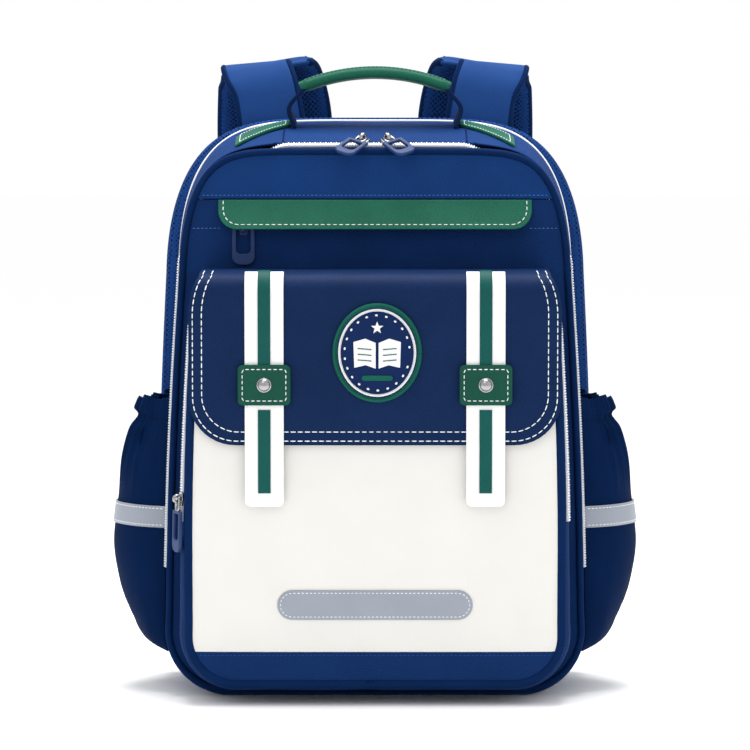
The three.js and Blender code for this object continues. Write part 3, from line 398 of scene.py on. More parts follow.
def make_object(name, points, faces, material, weave=None):
    points = np.reshape(points, (-1, 3))
    mesh = bpy.data.meshes.new(name)
    mesh.from_pydata((points * MM).tolist(), [], [list(map(int, f)) for f in faces])
    return add_mesh(name, mesh, material, points if weave is None else weave)


def place(obj, slot=None, *nodes, body=BAG):
    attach(obj, body)
    if nodes:
        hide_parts(*nodes)
    return obj


def grid_faces(rows, columns, wrap=False, wrap_rows=False):
    r, c = np.meshgrid(np.arange(rows - (not wrap_rows)), np.arange(columns - (not wrap)), indexing="ij")
    r1, c1 = (r + 1) % rows, (c + 1) % columns
    corners = [(r, c), (r1, c), (r1, c1), (r, c1)]
    return np.stack([row * columns + across for row, across in corners], -1).reshape(-1, 4)


def grid_normals(grid, wrap=False):
    down = np.gradient(grid, axis=0)
    if wrap:
        across = (np.roll(grid, -1, 1) - np.roll(grid, 1, 1)) / 2
    else:
        across = np.gradient(grid, axis=1)
    return unit(np.cross(down, across))


def grid_weave(grid):
    """Cloth coordinates of a grid: distances along its columns and its rows."""
    u = np.cumsum(np.linalg.norm(np.diff(grid, axis=1, prepend=grid[:, :1]), axis=-1), 1)
    v = np.cumsum(np.linalg.norm(np.diff(grid, axis=0, prepend=grid[:1]), axis=-1), 0)
    return np.stack([u, v, np.zeros_like(u)], -1)


def wrinkled(grid, wrinkle, wrap=False, lift=0.0):
    return grid + grid_normals(grid, wrap) * (lift + bumps(grid, wrinkle))


BEVEL = Sizes(segments=2, angle=math.radians(40))


def shell(name, grid, wall, material, wrap=False, bevel=0.0):
    """A wall of one thickness behind a grid of points."""
    rows, columns = grid.shape[:2]
    index = np.arange(rows * columns).reshape(rows, columns)
    borders = [(index[0], wrap), (index[-1][::-1], wrap)]
    if not wrap:
        borders += [(index[::-1, 0], False), (index[:, -1], False)]
    rim = []
    for border, closed in borders:
        following = np.roll(border, -1) if closed else border[1:]
        rim += [[a, b, b + index.size, a + index.size] for a, b in zip(border, following)]
    front = grid_faces(rows, columns, wrap)
    faces = [*front, *(front[:, ::-1] + index.size), *rim]
    inside = grid - grid_normals(grid, wrap) * wall
    made = make_object(name, [grid, inside], faces, material, [grid_weave(grid)] * 2)
    if bevel:
        edges = made.modifiers.new("round", "BEVEL")
        edges.width, edges.segments = bevel * MM, BEVEL.segments
        edges.limit_method, edges.angle_limit = "ANGLE", BEVEL.angle
    return made


def disc_faces(count, rings):
    """Faces of a closed form whose rows are whole outlines, between a first and a last middle point."""
    faces = [[0, 1 + i, 1 + (i + 1) % count] for i in range(count)]
    faces += list(grid_faces(rings, count, wrap=True) + 1)
    last, start = 1 + rings * count, 1 + (rings - 1) * count
    return faces + [[last, start + (i + 1) % count, start + i] for i in range(count)]


RIM_TURNS = np.radians([30, 60, 90])


def pillow(name, outline, surface, wall, material, edge, rings=10, back=False):
    """A plate with a rounded rim. surface gives the points from x, z and the stand off the seat."""
    middle, out = outline.mean(0), outward(outline)
    rows = [(lerp(middle, outline - out * edge, t), wall) for t in np.linspace(0, 1, rings + 1)[1:]]
    for turn in RIM_TURNS:
        rows.append((outline - out * edge * (1 - math.sin(turn)), wall - edge * (1 - math.cos(turn))))
    rows += [(outline, 0.0), (lerp(middle, outline, 0.5), 0.0)]
    flat = np.concatenate([[middle], *[row for row, _ in rows], [middle]])
    stand = np.concatenate([[wall], np.repeat([s for _, s in rows], len(outline)), [0.0]])
    faces = disc_faces(len(outline), len(rows))
    if back:
        faces = [face[::-1] for face in faces]
    return make_object(name, surface(*flat.T, stand), faces, material, np.column_stack([flat, stand]))


def tube(name, path, radius, material, sides=CORD_SIDES, out=None, closed=True, pucker=None):
    """A round tube along a line of points; closed joins its ends."""
    ahead = unit(np.roll(path, -1, 0) - np.roll(path, 1, 0)) if closed else tangents(path)
    up = unit(np.cross(ahead, [0, 1, 0])) if out is None else out
    side = unit(np.cross(ahead, up))
    turn = turns(sides)[:, None, None]
    grid = path + radius * (np.cos(turn) * up + np.sin(turn) * side)
    if pucker:
        grid = path + (grid - path) * (1 + bumps(grid, pucker))
    weave = np.stack(np.broadcast_arrays(along(path), turn[..., 0] * radius, 0.0), -1)
    faces = grid_faces(sides, len(path), wrap=closed, wrap_rows=True)
    if not closed:
        ends = np.arange(sides) * len(path)
        faces = [*faces, ends[::-1], ends + len(path) - 1]
    return make_object(name, grid, faces, material, weave)


CAPSULE = table("at girth", [[-1, 0.35], [-0.72, 0.85], [0, 1], [0.72, 0.85], [1, 0.35]])


def capsules(name, centres, axes, ups, length, radius, material, dip=0.0, sides=6):
    """Many short rounded bars in one mesh, such as stitches or zip teeth."""
    axes = unit(axes)
    right = unit(np.cross(axes, ups))
    up = np.cross(right, axes)
    rows = []
    for row in CAPSULE:
        middle = centres + axes * row.at * length / 2 - up * dip * row.at**2
        girth = radius * row.girth
        rows += [middle + girth * (math.cos(turn) * right + math.sin(turn) * up) for turn in turns(sides)]
    per = len(rows)
    one = [*grid_faces(len(CAPSULE), sides, wrap=True), range(sides), range(per - 1, per - sides - 1, -1)]
    faces = [[i + n * per for i in face] for n in range(len(centres)) for face in one]
    return make_object(name, np.stack(rows, 1), faces, material)


def stitches(name, seam, thread, paths):
    """Thread sewn along lines. Each line is its points and the outward directions there."""
    sewn = SEAMS[seam]
    centres, axes, ups = [], [], []
    for points, outs in paths:
        run = along(points)
        at = spaced(run[-1], max(2, round(run[-1] / sewn.pitch)))
        spots, ahead, out = (read_at(at, run, v) for v in (points, tangents(points), outs))
        centres.append(spots + unit(out) * sewn.radius * STITCH.rise)
        axes.append(ahead)
        ups.append(out)
    rows = [np.concatenate(v) for v in (centres, axes, ups)]
    place(capsules(name, *rows, sewn.length, sewn.radius, thread, STITCH.dip, STITCH.sides))


def sewn_on(surface, line, stand, step=2.0, nudge=0.5):
    """A line of x and z laid on a surface: its points and the surface's outward directions."""
    line = resampled(line, max(2, int(along(line)[-1] / step) + 1))
    points = surface(*line.T, stand)
    return points, unit(surface(*line.T, stand + nudge) - points)


def lifted(surface, lift):
    return lambda x, z, stand: surface(x, z, stand + lift)


def moved(spot, x, y):
    """The matrix that sets a piece down at a spot, with its X and Y along two directions."""
    axes = np.stack([x, y, np.cross(x, y)], 1)
    return Matrix.Translation(Vector(spot) * MM) @ Matrix(axes.tolist()).to_4x4()


def mirrored_plan(half, flip):
    half = np.array(half)
    return np.concatenate([half, half[::-1] * flip])


def cut_plate(name, outline, holes, wall, edge, material, middle, move):
    """A flat plate with holes and rounded edges, drawn in the plane of X and Y and then moved."""
    curve = bpy.data.curves.new(name, "CURVE")
    curve.dimensions, curve.fill_mode = "2D", "BOTH"
    curve.bevel_depth, curve.bevel_resolution = edge * MM, 3
    curve.extrude, curve.offset = (wall / 2 - edge) * MM, -edge * MM
    for line in (outline, *holes):
        spline = curve.splines.new("POLY")
        spline.points.add(len(line) - 1)
        for point, (x, y) in zip(spline.points, line):
            point.co = (x * MM, y * MM, 0, 1)
        spline.use_cyclic_u = True
    source = add_object(name + "_curve", curve)
    bpy.context.view_layer.update()
    mesh = bpy.data.meshes.new_from_object(source.evaluated_get(bpy.context.evaluated_depsgraph_get()))
    bpy.data.objects.remove(source)
    mesh.transform(Matrix.Translation((0, 0, middle * MM)))
    weave = np.array([v.co for v in mesh.vertices]) / MM
    mesh.transform(move)
    return add_mesh(name, mesh, material, weave)


# Filling of the padded pieces

filled = []


def fill_with_cloth(obj, seam, pressure, limit):
    """Sets a padded piece up for the cloth run, with its seam held."""
    held = obj.vertex_groups.new(name="seam")
    held.add([int(i) for i in seam], 1.0, "REPLACE")
    run = obj.modifiers.new("fill", "CLOTH")
    settings = run.settings
    settings.quality, settings.mass = CLOTH_RUN.quality, CLOTH_RUN.mass
    settings.tension_stiffness = settings.compression_stiffness = CLOTH_RUN.stiffness
    settings.bending_stiffness = CLOTH_RUN.bending
    settings.use_pressure, settings.uniform_pressure_force = True, pressure
    settings.vertex_group_mass = held.name
    settings.effector_weights.gravity = 0
    filled.append((obj, run, limit * MM))


def run_cloth():
    """Runs the cloth once for every padded piece and keeps the shape it gives, within each one's limit."""
    if not filled:
        return
    scene = bpy.context.scene
    for number in range(1, CLOTH_RUN.frames + 1):
        scene.frame_set(number)
    graph = bpy.context.evaluated_depsgraph_get()
    for obj, run, limit in filled:
        count = len(obj.data.vertices) * 3
        before, after = np.zeros(count), np.zeros(count)
        obj.data.vertices.foreach_get("co", before)
        obj.evaluated_get(graph).data.vertices.foreach_get("co", after)
        step = (after - before).reshape(-1, 3)
        reach = np.linalg.norm(step, axis=1, keepdims=True)
        step = step * np.minimum(1, limit / np.maximum(reach, 1e-9))
        obj.data.vertices.foreach_set("co", before + step.ravel())
        obj.modifiers.remove(run)
        obj.data.update()
    scene.frame_set(1)


# Materials

def linear(value):
    """A part of a linear colour, from 8-bit sRGB."""
    value = value / 255
    return value / 12.92 if value <= 0.04045 else ((value + 0.055) / 1.055) ** 2.4


def add_node(tree, kind, inputs, **settings):
    made = tree.nodes.new(kind)
    for key, value in settings.items():
        setattr(made, key, value)
    for key, value in inputs.items():
        if isinstance(value, bpy.types.NodeSocket):
            tree.links.new(value, made.inputs[key])
        else:
            made.inputs[key].default_value = value
    return made


def cloth_coordinates(tree, turn=0.0):
    coordinates = add_node(tree, "ShaderNodeAttribute", {}, attribute_name="weave").outputs["Vector"]
    inputs = {"Vector": coordinates, "Rotation": (0, 0, math.radians(turn))}
    return add_node(tree, "ShaderNodeMapping", inputs).outputs["Vector"]


def spread(tree, value, low, high, to_low=0.0, to_high=1.0):
    inputs = {"Value": value, "From Min": low, "From Max": high, "To Min": to_low, "To Max": to_high}
    return add_node(tree, "ShaderNodeMapRange", inputs).outputs["Result"]


def colour_mix(tree, share, a, b, blend="MIX"):
    """The mix node names its sockets of every kind alike, so those for colours go by number."""
    inputs = {0: share, 6: a, 7: b}
    return add_node(tree, "ShaderNodeMix", inputs, data_type="RGBA", blend_type=blend).outputs[2]


def mixed(tree, operation, a, b):
    return add_node(tree, "ShaderNodeMath", {0: a, 1: b}, operation=operation).outputs[0]


def blended(tree, a, b, share):
    return mixed(tree, "ADD", mixed(tree, "MULTIPLY", a, 1 - share), mixed(tree, "MULTIPLY", b, share))


WAVE_PERIOD = 0.314159


def bands(tree, pitch, turn=0.0, wobble=0.0):
    inputs = {"Vector": cloth_coordinates(tree, turn), "Scale": WAVE_PERIOD / pitch, "Distortion": wobble,
              "Detail": 1.0, "Detail Scale": 2.0}
    return add_node(tree, "ShaderNodeTexWave", inputs, bands_direction="X").outputs["Fac"]


CELLS = "turn randomness feature low high"
GRAIN, AIR_MESH = table(CELLS, [[0, 0.9, "DISTANCE_TO_EDGE", 0, 0.22], [45, 0.12, "F1", 0.22, 0.5]])


def cells(tree, size, kind):
    inputs = {"Vector": cloth_coordinates(tree, kind.turn), "Scale": 1 / size, "Randomness": kind.randomness}
    made = add_node(tree, "ShaderNodeTexVoronoi", inputs, feature=kind.feature)
    return spread(tree, made.outputs["Distance"], kind.low, kind.high)


def speckle(tree, size, detail=3.0):
    inputs = {"Vector": cloth_coordinates(tree), "Scale": 1 / size, "Detail": detail}
    return add_node(tree, "ShaderNodeTexNoise", inputs).outputs["Fac"]


TWILL, RIBS = table("turn cross_turn cross_pitch cross_share", [[58, -30, 0.55, 0.25], [90, 152, 0.5, 0.3]])


def crossed(tree, pitch, kind):
    """Bands with fainter ones across them."""
    across = bands(tree, pitch * kind.cross_pitch, kind.cross_turn)
    return blended(tree, bands(tree, pitch, kind.turn), across, kind.cross_share)


def plain_weave(tree, pitch):
    return mixed(tree, "MULTIPLY", bands(tree, pitch), bands(tree, pitch, 90))


def threads(tree, pitch, turn):
    return bands(tree, pitch, turn, 1.5)


TONE = Sizes(low=0.25, high=0.75, detail=4.0)
# The first number is the painted highlight on the weave's ridges, as a share of the painted shade in its
# valleys; GLOSS spreads the roughness.
RIDGE_HIGHLIGHT, GLOSS = 0.6, (1.12, 0.92)


def material(name, srgb, roughness, pattern, depth, shade=0.2, mottle=0.12, mottle_size=38.0, **sockets):
    """A shader whose pattern gives bump, painted shade in its valleys and a painted highlight on its ridges,
    with slow changes of tone and gloss.
    """
    made = bpy.data.materials.new(name)
    made.use_nodes = True
    tree = made.node_tree
    shader = tree.nodes["Principled BSDF"]
    draw, *sizes = pattern
    relief = draw(tree, *sizes)
    base = [linear(value) for value in srgb]
    # low is painted shade for the pattern's valleys and high a painted highlight for its ridges; the pattern
    # mixes them, and slow random changes of tone are multiplied in.
    low, high = ([*(min(c * level, 1) for c in base), 1] for level in (1 - shade, 1 + shade * RIDGE_HIGHLIGHT))
    tone = spread(tree, speckle(tree, mottle_size, TONE.detail), TONE.low, TONE.high, 1 - mottle, 1 + mottle)
    shade_and_tone = colour_mix(tree, 1.0, colour_mix(tree, relief, low, high), tone, "MULTIPLY")
    tree.links.new(shade_and_tone, shader.inputs["Base Color"])
    gloss = spread(tree, relief, 0, 1, *(min(roughness * share, 1) for share in GLOSS))
    tree.links.new(gloss, shader.inputs["Roughness"])
    bump = add_node(tree, "ShaderNodeBump", {"Height": relief, "Distance": depth * MM, "Strength": 1.0})
    tree.links.new(bump.outputs["Normal"], shader.inputs["Normal"])
    for socket, value in sockets.items():
        shader.inputs[socket.replace("_", " ")].default_value = value
    return made


CLOTH_SHINE, DULL_SHINE, LEATHER_SHINE, PLASTIC_SHINE = 0.06, 0.02, 0.1, 0.2


def cloth(name, srgb, roughness, pattern, depth, shade, mottle=0.12, shine=CLOTH_SHINE):
    return material(name, srgb, roughness, pattern, depth, shade, mottle, Specular_IOR_Level=shine)


def leather(name, srgb, size, depth, roughness=0.42, shine=LEATHER_SHINE):
    return material(name, srgb, roughness, (cells, size, GRAIN), depth, Specular_IOR_Level=shine)


def stitch_thread(name, srgb):
    return cloth(name, srgb, 0.6, (threads, 0.5, 60), 0.05, 0.2)


NAVY = cloth("navy_twill", (15, 50, 103), 0.72, (crossed, 1.5, TWILL), 0.14, 0.24)
# A darker copy of the navy twill: painted shade for the lower front panel, the pocket's gusset and its band.
NAVY_SHADED = cloth("navy_painted_shade", (12, 42, 89), 0.72, (crossed, 1.5, TWILL), 0.14, 0.24)
# A much darker copy of the navy twill for the side pockets: painted shade, as the light falls off on the
# sides.
NAVY_SIDE_SHADED = cloth("navy_side_painted_shade", (5, 28, 64), 0.66, (crossed, 1.3, TWILL), 0.14, 0.32, shine=DULL_SHINE)
# A darker copy of the navy twill for the rolled edges, seams, bindings and hem stitches: painted shade,
# because the rolls lie in shade at the bottom.
NAVY_ROLL_SHADED = cloth("navy_roll_painted_shade", (9, 34, 74), 0.6, (crossed, 1.3, TWILL), 0.1, 0.22, shine=DULL_SHINE)
NAVY_SMOOTH = cloth("navy_strap", (25, 63, 122), 0.55, (plain_weave, 0.9), 0.08, 0.18)
NAVY_MESH = cloth("navy_mesh", (15, 46, 95), 0.85, (cells, 2.6, AIR_MESH), 0.5, 0.75)
NAVY_FLAP = leather("navy_flap", (12, 35, 73), 0.9, 0.07, 0.5, CLOTH_SHINE)
NAVY_WEB = cloth("navy_webbing", (10, 33, 74), 0.7, (crossed, 1.8, RIBS), 0.25, 0.4)
NAVY_PULL = material("navy_rubber", (32, 54, 98), 0.5, (speckle, 0.5), 0.03, 0.08, mottle_size=12,
                     Specular_IOR_Level=PLASTIC_SHINE)
GREEN = leather("green_leather", (24, 88, 69), 0.8, 0.09)
GREEN_DARK = leather("green_keeper", (17, 72, 57), 0.8, 0.09)
GREEN_TAPE = leather("green_tape", (13, 77, 72), 0.7, 0.05)
GREEN_THREAD = cloth("green_border", (24, 92, 78), 0.6, (threads, 0.7, 20), 0.2, 0.35)
WHITE = cloth("white_cloth", (214, 212, 208), 0.55, (plain_weave, 0.9), 0.03, 0.025, 0.02)
WHITE_STRIP = cloth("white_strip", (229, 230, 230), 0.5, (plain_weave, 0.9), 0.05, 0.05, 0.02)
WHITE_THREAD = cloth("white_patch", (232, 233, 233), 0.6, (threads, 0.7, 35), 0.15, 0.15, 0.04)
NAVY_THREAD = cloth("navy_patch", (17, 38, 82), 0.6, (threads, 0.7, 0), 0.15, 0.35)
ZIP_TAPE = cloth("zip_tape", (214, 219, 228), 0.65, (plain_weave, 0.8), 0.08, 0.15, 0.04)
ZIP_TEETH = material("zip_teeth", (236, 238, 243), 0.35, (speckle, 0.6), 0.02, 0.05, 0.03)
REFLECTIVE = material("reflective_tape", (138, 144, 155), 0.38, (speckle, 0.45), 0.05, 0.18, 0.06,
                      Metallic=0.15)
# The metal is darker than bright nickel: a painted dark reflection, since the white studio gives it nothing
# dark to mirror.
NICKEL_DARK_REFLECTION = material("nickel", (158, 158, 161), 0.14, (speckle, 0.8), 0.01, 0.05, 0.03, Metallic=1.0)
LIGHT_STITCH = stitch_thread("light_thread", (226, 233, 233))
BLUE_STITCH = stitch_thread("blue_thread", (58, 100, 170))
NAVY_STITCH = stitch_thread("navy_thread", (30, 66, 126))
FLOOR = material("pale_floor", (254, 254, 254), 0.9, (speckle, 4), 0.01, 0.004, 0.002, Specular_IOR_Level=0.0)


# Main bag

def columns_of(points, start, end):
    return points[np.arange(start, end + 1) % RING]


def band_grid(form, low, high, rows, start, end):
    """Rows of points round a form between two shares, from one step of its outline to another."""
    return np.stack([columns_of(ring(form, share), start, end) for share in np.linspace(low, high, rows + 1)])


def crown_point(x, share):
    half = ring(BODY, share)[CROWN - STEPS.shoulder:CROWN + 1][::-1]
    return read_at(x, half[:, 0], half)


def zip_line(node, line, lift):
    """A zip's tape and its teeth. lift gives how far they stand out at each point of the line."""
    ends = line.step, RING - line.step
    tape = band_grid(line.form, line.front, line.back, ZIP.rows, *ends)
    shares = line.teeth, line.teeth + ZIP.nudge
    path, behind = (columns_of(ring(line.form, share), *ends) for share in shares)
    rise = lift(path)[:, None]
    tape = tape + grid_normals(tape) * rise
    place(shell(f"{node}_tape", tape, CLOTH, ZIP_TAPE), "white_zip", node)
    back = behind - path
    path = path + unit(np.cross(back, tangents(path))) * (rise + ZIP.stand)
    run = along(path)
    count = int(run[-1] / ZIP.pitch)
    centres, backs, ahead = (read_at(spaced(run[-1], count), run, v) for v in (path, back, tangents(path)))
    centres = centres + unit(backs) * np.where(np.arange(count) % 2, ZIP.stagger, -ZIP.stagger)[:, None]
    outs = np.cross(backs, ahead)
    teeth = capsules(f"{node}_teeth", centres, backs, outs, ZIP.length, ZIP.radius, ZIP_TEETH)
    place(teeth, "white_zip")


def main_zip_lift(path):
    """The zip shows at the crown and down the sides, and lies under the cloth on the shoulders."""
    side = smooth((ZIP_LIFT.side_z - path[:, 2]) / ZIP_LIFT.side_run)
    crown = smooth((ZIP_LIFT.crown_x - np.abs(path[:, 0])) / ZIP_LIFT.crown_run)
    return ZIP_LIFT.sunk + ZIP_LIFT.side * side + ZIP_LIFT.crown * crown


def front_zip_lift(path):
    return np.full(len(path), ZIP_LIFT.front)


def zip_fold(side, sign):
    """Cloth folded forward over the zip on a shoulder, narrow at both ends."""
    line = ring(BODY, ZIP_FOLD.front)
    spots = np.flatnonzero((line[:, 2] > ZIP_FOLD.low) & (line[:, 0] * sign > ZIP_FOLD.half))
    reach = np.sin(np.linspace(0, np.pi, len(spots))) ** ZIP_FOLD.power
    lips = lerp(ZIP_FOLD.back - ZIP_FOLD.end, ZIP_FOLD.front, reach)
    shares = [np.linspace(lip, ZIP_FOLD.back, ZIP_FOLD.rows) for lip in lips]
    grid = np.stack([[ring(BODY, share)[spot] for share in row] for spot, row in zip(spots, shares)], 1)
    grid = grid + grid_normals(grid) * ZIP_FOLD.stand
    place(shell(f"zip_fold_{side}", grid, ZIP_FOLD.wall, NAVY, bevel=0.4), "navy_twill")


def crown_seam(side, sign):
    # The cord is drawn in the darker navy, painted shade, so that the seam reads as a dark groove.
    shares = np.linspace(CROWN_SEAM.front, CROWN_SEAM.back, CROWN_SEAM.count)
    line = np.array([crown_point(CROWN_SEAM.x, share) for share in shares]) * [sign, 1, 1]
    line = line + [0, 0, CROWN_SEAM.lift]
    seam = tube(f"crown_seam_{side}", line, CROWN_SEAM.radius, NAVY_ROLL_SHADED, FINE_SIDES, [0, 0, 1], closed=False)
    place(seam, "navy_twill")


def main_bag():
    gusset = band_grid(BODY, GUSSET.front, GUSSET.back, GUSSET.rows, MAIN_STEP, RING - MAIN_STEP)
    gusset = wrinkled(gusset, GUSSET_WRINKLE)
    place(shell("main_gusset_cloth", gusset, CLOTH, NAVY), "navy_twill", "main_gusset")
    base = band_grid(BODY, MAIN_ZIP.front, GUSSET.back, GUSSET.base_rows, RING - MAIN_STEP, RING + MAIN_STEP)
    place(shell("base_gusset_cloth", base, CLOTH, NAVY), "navy_twill", "base_gusset")
    zip_line("main_zip", MAIN_ZIP, main_zip_lift)
    front = ring(BODY, 0)
    front = at_depth(inset(xz(front), EDGE_ROLL.inset), front[:, 1])
    roll = tube("edge_roll_cloth", front, EDGE_ROLL.radius, NAVY_ROLL_SHADED, ROLL_SIDES, pucker=EDGE_PUCKER)
    place(roll, "navy_twill", "edge_roll")
    for side, sign in SIDES.items():
        zip_fold(side, sign)
        crown_seam(side, sign)
    piping = tube("back_piping_cord", ring(BODY, PIPING.share), PIPING.radius, WHITE_STRIP)
    place(piping, "white_cloth", "back_piping")


def cushion(name, x_ends, z_ends):
    """A stuffed mesh cushion on the back: a bowed rectangle, filled by the cloth run."""
    ends = np.array([x_ends, z_ends])
    half, middle = (ends[:, 1] - ends[:, 0]) / 2, ends.mean(1)
    counts = np.round(2 * half / CUSHION.step).astype(int) + 1
    u, v = np.meshgrid(*(np.linspace(-1, 1, count) for count in counts), indexing="ij")
    x = middle[0] + half[0] * u * np.sqrt(1 - CUSHION.bulge * v * v)
    z = middle[1] + half[1] * v * np.sqrt(1 - CUSHION.bulge * u * u)
    dome = CUSHION.dome * ((1 - u**CUSHION.square) * (1 - v**CUSHION.square)) ** CUSHION.shoulder
    grid = np.stack([x, BACK_FACE + CUSHION.seat + dome, z], -1)[:, ::-1]
    made = shell(name, grid, CUSHION.wall, NAVY_MESH)
    index = np.arange(u.size).reshape(u.shape)
    seam = np.concatenate([index[0], index[-1], index[:, 0], index[:, -1], np.arange(u.size, 2 * u.size)])
    fill_with_cloth(made, seam, CUSHION.pressure, CUSHION.limit)
    place(made, "navy_mesh")


def back_panel():
    outline = xz(section_ring(BACK))
    edge = np.stack([at_depth(inset(outline, row.inset), row.y) for row in BACK_EDGE])
    rim = np.stack([curve_through(edge[:, k], BACK_RIM_ROWS) for k in range(RING)], 1)
    inner = inset(outline, BACK_EDGE[-1].inset)
    middle = inner.mean(0)
    shares = np.linspace(1, 0, BACK_FACE_ROWS)[1:-1]
    grid = np.concatenate([rim, [at_depth(lerp(middle, inner, share), BACK_FACE) for share in shares]])
    start, end = (at_depth(middle[None], y) for y in (BACK_EDGE[0].y, BACK_FACE))
    points = np.concatenate([start, grid.reshape(-1, 3), end])
    faces, weave = disc_faces(RING, len(grid)), points[:, [0, 2, 1]]
    panel = make_object("back_panel_pad", points, faces, NAVY_MESH, weave)
    place(panel, "navy_mesh", "back_panel")
    seam = at_depth(inset(outline, BACK_BINDING.inset), BACK_FACE - BACK_BINDING.sunk)
    place(tube("back_binding", seam, BACK_BINDING.radius, NAVY_ROLL_SHADED), "navy_twill")
    for number, row in enumerate(CUSHION_ROWS):
        for side, sign in SIDES.items():
            x_ends = sorted((sign * CUSHION.inner, sign * CUSHION.outer))
            cushion(f"back_cushion_{side}_{number}", x_ends, (row.low, row.high))


# Front panel and the cover of its zip

PANEL_OUTLINE = inset(xz(ring(BODY, 0)), EDGE_ROLL.radius)
PANEL_HALF, PANEL_TOP = PANEL_OUTLINE.max(0)


def on_panel(x, z, stand):
    rise = np.clip((z - PANEL.bulge_low) / (PANEL_TOP - PANEL.bulge_low), 0, 1)
    bulge = PANEL.bulge * np.sin(np.pi * rise) * (1 - (x / PANEL_HALF) ** 2)
    return np.stack([x, depth_at(BODY[0], z) - bulge - stand, z], -1)


def on_cover(x, z, stand):
    rise = (COVER.high - z) / (COVER.high - COVER.low)
    return on_panel(x, z, stand + GAP + COVER.lift * np.clip(rise, 0, COVER.reach) ** COVER.curl)


def level_seam(surface, z):
    return sewn_on(surface, [(-LEVEL_SEAM_HALF, z), (LEVEL_SEAM_HALF, z)], CLOTH)


def front_panel():
    flat, folded = lifted(on_panel, -CLOTH), lifted(on_panel, PANEL.fold - CLOTH)
    lower = even(clipped(PANEL_OUTLINE, PANEL.split - GAP, False), PANEL_STEP)
    # The lower panel takes the darker navy, painted shade.
    made = pillow("main_front_cloth", lower, flat, CLOTH, NAVY_SHADED, edge=0.4, rings=40)
    place(made, "navy_twill", "main_front_panel")
    upper = even(clipped(PANEL_OUTLINE, PANEL.split, True), PANEL_STEP)
    made = pillow("top_panel_cloth", upper, folded, CLOTH, NAVY, edge=1.0, rings=30)
    place(made, "navy_twill", "top_panel")
    outline = even(rounded(COVER.half, COVER.low, COVER.high, COVER.corner), TRIM_STEP)
    cover = pillow("zip_cover_leather", outline, on_cover, LEATHER, GREEN, edge=0.7)
    place(cover, "green_leather", "zip_cover")
    sewn = rounded(COVER.half - COVER.sewn_side, COVER.low + COVER.sewn_foot, COVER.high,
                   COVER.corner - COVER.sewn_corner)
    line = sewn_on(on_cover, open_sides(sewn, COVER.high), LEATHER)
    stitches("zip_cover_stitches", "cover", LIGHT_STITCH, [line])
    lines = [level_seam(folded, PANEL.split + PANEL.seam)]
    for sign in SIDES.values():
        lines.append(sewn_on(flat, [(sign * x, PANEL.short_z) for x in PANEL.short_seam], CLOTH))
    stitches("panel_stitches", "panel", BLUE_STITCH, lines)


# Box pocket

FACE_OUTLINE = inset(xz(ring(BOX, 0)), POCKET_ROLL.radius * POCKET_ROLL.overlap)
FACE_HALF, FACE_HIGH = FACE_OUTLINE.max(0)
FACE_LOW = FACE_OUTLINE[:, 1].min()


def on_face(x, z, stand):
    t = (z - FACE_LOW) / (FACE_HIGH - FACE_LOW)
    dome = (1 - np.abs(x / FACE_HALF) ** FACE.side_power) * (1 - np.abs(2 * t - 1) ** FACE.end_power)
    return np.stack([x, FACE.y + FACE.seat - FACE.dome * dome - stand, z], -1)


def front_reflector():
    def capsule(shrink):
        radius = REFLECTOR.radius - shrink
        return rounded(REFLECTOR.half - shrink, REFLECTOR.z - radius, REFLECTOR.z + radius, radius, radius,
                       steps=REFLECTOR.steps)

    outline = even(capsule(0), TRIM_STEP)
    tape = pillow("front_reflector_tape", outline, on_face, REFLECTOR.wall, REFLECTIVE, edge=0.4)
    place(tape, "grey_reflective", "front_reflector")
    line = sewn_on(on_face, closed_line(capsule(REFLECTOR.sewn)), REFLECTOR.wall)
    stitches("front_reflector_stitches", "tape", LIGHT_STITCH, [line])


def box_pocket():
    walls = band_grid(BOX, BOX_WALLS.front, BOX_WALLS.back, BOX_WALLS.rows, 0, RING - 1)
    walls = wrinkled(walls, POCKET_WRINKLE, wrap=True)
    # The pocket's gusset takes the darker navy, painted shade.
    place(shell("pocket_gusset_cloth", walls, CLOTH, NAVY_SHADED, wrap=True), "navy_twill", "pocket_gusset")
    zip_line("front_zip", FRONT_ZIP, front_zip_lift)
    front = ring(BOX, 0)
    roll = tube("pocket_roll_cloth", front, POCKET_ROLL.radius, NAVY_ROLL_SHADED, ROLL_SIDES, pucker=POCKET_PUCKER)
    place(roll, "navy_twill", "pocket_roll")
    upper = even(clipped(FACE_OUTLINE, FACE.band_top, True), PANEL_STEP)
    face = pillow("pocket_face_cloth", upper, lifted(on_face, -CLOTH), CLOTH, WHITE, edge=0.4, rings=36)
    place(face, "white_cloth", "pocket_face")
    lower = even(clipped(FACE_OUTLINE, FACE.band_top, False), TRIM_STEP)
    on_band = lifted(on_face, FACE.band_lift - CLOTH)
    # The band also takes the darker navy, painted shade.
    band = pillow("pocket_band_cloth", lower, on_band, CLOTH, NAVY_SHADED, edge=0.6, rings=12)
    place(band, "navy_twill", "pocket_band")
    stitches("band_stitches", "panel", NAVY_STITCH, [level_seam(on_band, FACE.band_top - FACE.seam)])
    front_reflector()


# Flap, its strips and its badge

FLAP_ARC = FLAP.radius * math.radians(FLAP.bend_deg)


